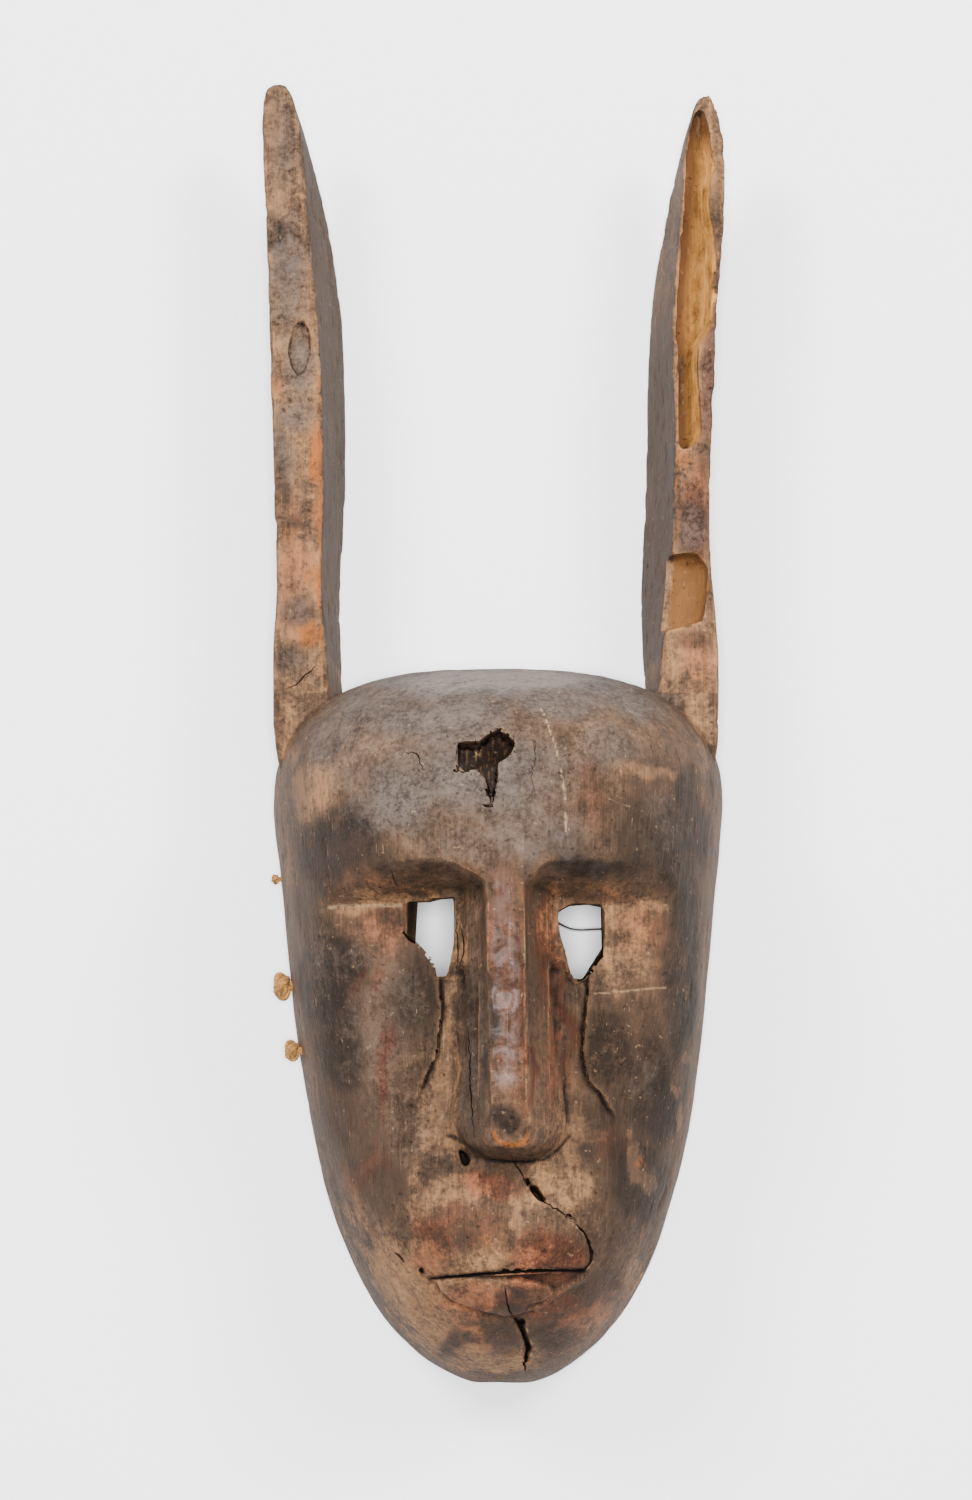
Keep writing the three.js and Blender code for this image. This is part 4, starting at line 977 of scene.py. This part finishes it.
# The fronts of the ears
earPaint = {
    "dustAndLitTop": [(-87, 245, 7, 26, 0.55), (-85, 190, 8, 30, 0.7), (-81, 152, 7, 17, 0.8), (-81, 130, 7, 8, 0.7),
             (-86, 113, 5, 16, 0.5), (-83, 30, 7, 8, 0.4), (-80, 49, 7, 6, 0.45), (78, 84, 8, 13, 0.5),
             (86, 150, 4, 44, 0.35)],
    "tan": [(-91, 252, 6, 14, 0.9), (-86, 218, 6, 6, 0.7), (-84, 75, 8, 14, 0.7), (-78, 64, 8, 10, 0.6),
            (-75, 22, 6, 8, 0.5), (-88, 14, 6, 8, 0.7), (-80, 8, 9, 8, 0.7), (84, 247, 6, 12, 0.9),
            (78, 105, 4, 5, 0.8), (70, 26, 4, 7, 0.9), (86, 24, 2, 7, 0.6), (78, 20, 8, 14, 0.5)],
    "orange": [(-73, 112, 4.5, 17, 0.85), (-72.5, 92, 3, 14, 0.7), (-75, 40, 5, 7, 0.85),
               (-90, 143, 3, 8, 0.6), (-86, 80, 5, 6, 0.6), (-74, 64, 4, 7, 0.6),
               (-70.6, 170, 1.2, 70, 0.8), (-71, 75, 1.4, 60, 0.8), (-84, 68, 7, 5, 0.45),
               (-86, 20, 5, 4, 0.4), (75, 112, 4, 5, 0.7), (72, 96, 1.2, 26, 0.7),
               (87.6, 240, 1.6, 10, 0.6), (87.4, 60, 0.8, 50, 0.6), (80, 104, 3, 6, 0.45),
               (83, 22, 5, 6, 0.4)],
    "dark": [(-90, 206, 4, 9, 0.9), (-85, 192, 7, 11, 0.5), (-88, 116, 4, 17, 0.7), (-87, 98, 5, 10, 0.6),
             (-83, 84, 6, 5, 0.5), (-80, 49, 7, 6, 0.7), (-83, 30, 7, 8, 0.75), (-90, 52, 3, 10, 0.5),
             (78, 84, 8, 13, 0.9), (88, 190, 5, 34, 1.0), (85, 140, 5, 20, 1.0), (85, 112, 5, 12, 0.7),
             (79, 38, 8, 4, 0.7), (85, 60, 2.6, 16, 0.6), (82, 8, 6, 9, 0.4)],
    "red": [(-82, 70, 8, 40, 0.45), (80, 90, 8, 24, 0.7), (86, 160, 5, 50, 0.6), (80, 26, 8, 18, 0.45)],
}
painting = {
    "wander": [(5, 14, 41), (1.6, 4, 44)], "earWander": [(1.6, 9, 47), (0.8, 3, 50)],  # reach, size and seed
    "exact": ("stain", "orange", "shine"),  # whose outlines don't wander
    "faceTop": 32,  # y above which the ears have their own paint
    "earTan": 0.6,  # at least, on the ears' fronts
    "sides": 0.5, "sideFall": 0.3, "sideFade": (150, 200),  # dark, and less of it on the right one's top
}
# Boxes in which the edges are rubbed to orange wood, and how much
wornEdges = [((-84, 14, 30), (-64, 232, 60), 0.8), ((-99, 150, 30), (-90, 250, 60), 0.4),
             ((64, 14, 30), (80, 240, 60), 0.6)]
# The right ear's breaks lie between its inner and outer edges, given here at heights y. What is below the
# front's level, which is "top" less "fall" for each millimetre up, is inside them, down to "deepest"
earBreaks = {
    "y": [-14, 24, 48, 72, 119, 172, 218, 246, 259], "inner": [64, 65, 67.6, 70, 72, 71, 75, 76.6, 79.8],
    "outer": [87, 88.4, 87.6, 85.8, 86.4, 89.4, 92.8, 92.2, 89.8], "top": 48, "fall": 0.014, "deepest": 29,
    "from": 30, "lowerEnd": 90, "upperFrom": 100,  # y
    "sideWall": 4,  # how far in from an edge the ear's own side can lie
    "shadeWidth": (8, 2.5), "shadeTop": (236, 252), "lowerShade": 0.9,
    "spot": (76, 71, 2.5, 0.8), "spotShade": 0.1,  # a darker place in the lower break: x, y and its reach
}
# The breaks: the torn hollow in the forehead, and the narrow dark ones
tornBreak = [(-15.6, -17.4), (-7.2, -17.2), (-4.6, -14.6), (-0.6, -12.4), (2.2, -13.6), (6.4, -17.5),
             (3.7, -23), (-0.8, -25.5), (-0.6, -32), (-3.3, -42.4), (-4.8, -31), (-9, -27.6), (-15.4, -28.6)]
darkBreaks = [
    [(-15.8, -170.2), (-13, -171.4), (-10.8, -174.8), (-11.4, -177.4), (-14, -177.4)],
    [(11.2, -184.2), (14.8, -185.2), (18.2, -190), (18, -192), (15.4, -191), (12.4, -187.6)],
    [(-31, -215.4), (-29, -215.2), (-28.2, -217.6), (-30, -218.2)],
    [(5.4, -234), (10.5, -234.5), (10, -237.8), (11.7, -241.2), (12.8, -244.8), (11.7, -248.6),
     (11.2, -251.2), (9.9, -251.2), (9.9, -248.2), (10.8, -244.8), (9.9, -241.6), (8.2, -238.4)],
]


def insideEarBreak(points, normals):  # and how deep in the shade of the break's wall
    x, y, z = points.T
    inner = np.interp(y, earBreaks["y"], earBreaks["inner"])
    outer = np.interp(y, earBreaks["y"], earBreaks["outer"])
    below = earBreaks["top"] - earBreaks["fall"] * y - z
    innerSide = (normals[:, 0] < -0.35) & (x < inner + earBreaks["sideWall"])
    outerSide = (normals[:, 0] > 0.35) & (x > outer - earBreaks["sideWall"])
    hidden = innerSide | outerSide | (normals[:, 2] < -0.3) | (z < earBreaks["deepest"])
    between = (x > inner + 1.0) & (x < outer - 0.6) & (y > earBreaks["from"])
    broken = (between & ~hidden) * step(0.5, 1.4, below)
    shaded = np.maximum(step(*earBreaks["shadeWidth"], x - inner) * (y > earBreaks["upperFrom"]),
                        step(*earBreaks["shadeTop"], y))
    spotX, spotY, far, near = earBreaks["spot"]
    spot = earBreaks["spotShade"] * step(far, near, np.abs(y - spotY)) * (x > spotX)
    return broken, np.maximum(shaded, (earBreaks["lowerShade"] + spot) * (y < earBreaks["lowerEnd"]))


def wavered(points, rows):  # moves places about, so that the patches' outlines wander
    for reach, size, seed in rows:
        points = points + np.stack([(noise(points, size, seed + k) - 0.5) * 2 * reach for k in range(3)], 1)
    return points


def linedMarks(points, facing):
    lined = {name: np.zeros(len(points)) for name in marks}
    for name, rows in marks.items():
        for line, half, strength in rows:
            lined[name] = np.maximum(lined[name], strength * facing * ridge(points, line, half))
    return lined


def paintPatches(mesh, points, normals, facing, hollow, edge, rubbed):
    x, y = points[:, 0], points[:, 1]
    earFront = (np.abs(x) > 60) & (y > 16) & (normals[:, 2] > 0.5)
    places = wavered(points, painting["wander"])
    earPlaces = wavered(points, painting["earWander"])[earFront]
    for name, rows in paint.items():
        spots = points if name in painting["exact"] else places
        amount = blobs(spots, rows) * facing * (y < painting["faceTop"])
        amount[earFront] = blobs(earPlaces, earPaint.get(name, []))
        if name == "tan":
            amount[earFront] = np.maximum(amount[earFront], painting["earTan"])
        if name == "orange":
            for low, high, strength in wornEdges:
                zone = np.all((points > low) & (points < high), axis=1)
                amount = np.maximum(amount, strength * zone * edge)
            amount = np.maximum(amount, rubbed)
        amount[hollow] = 0
        if name == "dark":
            sides = painting["sides"] - painting["sideFall"] * step(*painting["sideFade"], y) * (x > 0)
            amount = np.maximum(amount, sides * (y > painting["faceTop"]) * ~earFront)
        store(mesh, name, amount)


def paintWood(mesh, cavityShade, edge):
    points, normals = readPoints(mesh), readNormals(mesh)
    hollow, facing = inHollow(points, normals), step(0.0, 0.3, normals[:, 2])
    lined = linedMarks(points, facing)
    paintPatches(mesh, points, normals, facing, hollow, edge, lined["orange"])
    store(mesh, "crease", lined["crease"])
    store(mesh, "pale", lined["pale"])
    broken, shaded = insideEarBreak(points, normals)
    store(mesh, "raw", broken)
    store(mesh, "shaded", shaded)
    above = (points[:, 2] > 40) * (1 - hollow)
    store(mesh, "torn", above * within(points, tornBreak, 0.35))
    cut = readValues(mesh, "cut")
    for outline in darkBreaks:
        cut = np.maximum(cut, above * within(points, outline, 0.4))
    store(mesh, "cut", cut)
    store(mesh, "inside", hollow.astype(float))
    store(mesh, "cavityShade", cavityShade)
    store(mesh, "edge", edge)


def makeMask():
    mesh = fineMesh()
    edges = readFlat(mesh.edges, "vertices", 2, np.int32)
    print("mask: even grid of", len(mesh.vertices), "points")
    points = wearDown(mesh, edges)
    print("mask: worn down")
    carve(mesh, edges, points)
    points = readPoints(mesh)
    normals = readNormals(mesh)
    stands = bulge(points, normals, edges, carving["paintRounds"])
    tree = KDTree(len(points))
    for i, p in enumerate(points):
        tree.insert(p, i)
    tree.balance()
    mesh = simplified(mesh, carving["triangles"], points, normals)
    piece = linked("mask_carved", mesh)
    print("mask: carved,", len(mesh.polygons), "triangles")
    cutAway(piece, crackCutter(mesh))
    mesh = piece.data
    print("mask: cracked,", len(mesh.polygons), "faces")
    near = np.array([tree.find(p)[1] for p in readPoints(mesh)])
    # sunk places are given painted shade
    paintWood(mesh, step(*carving["cavityShade"], -stands[near]), step(*carving["edge"], stands[near]))
    mesh.materials.clear()
    mesh.materials.append(woodFinish)
    mesh.shade_smooth()
    mesh.set_sharp_from_angle(angle=math.radians(carving["sharpAngle"]))
    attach(piece, "root")
    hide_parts("mask")


makeMask()
print("mask made")


# Floor and light: pale paper, a large soft light over the ears from each side, and one by the camera
paper = {"half": 6, "below": 0.0002}


def makeFloor():
    mesh = reworked(bpy.data.meshes.new("floor"), lambda bm: bmesh.ops.create_grid(
        bm, x_segments=1, y_segments=1, size=paper["half"]))
    mesh.transform(Matrix.Translation((0, 0, -paper["below"])))
    mesh.materials.append(floorMaterial())
    linked("floor", mesh)


lights = {
    "upper left": {"at": (-1.35, 1.3, 1.8), "size": 0.8, "watts": 112, "colour": (0.97, 0.985, 1)},
    "upper right": {"at": (1.4, 1.1, 1.7), "size": 0.8, "watts": 98, "colour": (1, 0.985, 0.96)},
    "by the camera": {"at": (0.0, -0.43, 2.5), "size": 0.4, "watts": 136, "colour": (1, 1, 1)},
}
surroundings = {"colour": (0.95, 0.97, 1, 1), "strength": 0.58}


def makeLights():
    for name, light in lights.items():
        data = bpy.data.lights.new(name, "AREA")
        data.size = light["size"]
        data.energy = light["watts"]
        data.color = light["colour"]
        made = linked(name, data)
        made.location = light["at"]
        made.rotation_euler = (-Vector(light["at"])).to_track_quat("-Z", "Y").to_euler()
    world = bpy.data.worlds.new("room")
    world.use_nodes = True
    background = world.node_tree.nodes["Background"].inputs
    background["Color"].default_value = surroundings["colour"]
    background["Strength"].default_value = surroundings["strength"]
    bpy.context.scene.world = world


makeFloor()
makeLights()
print("floor and lights made")
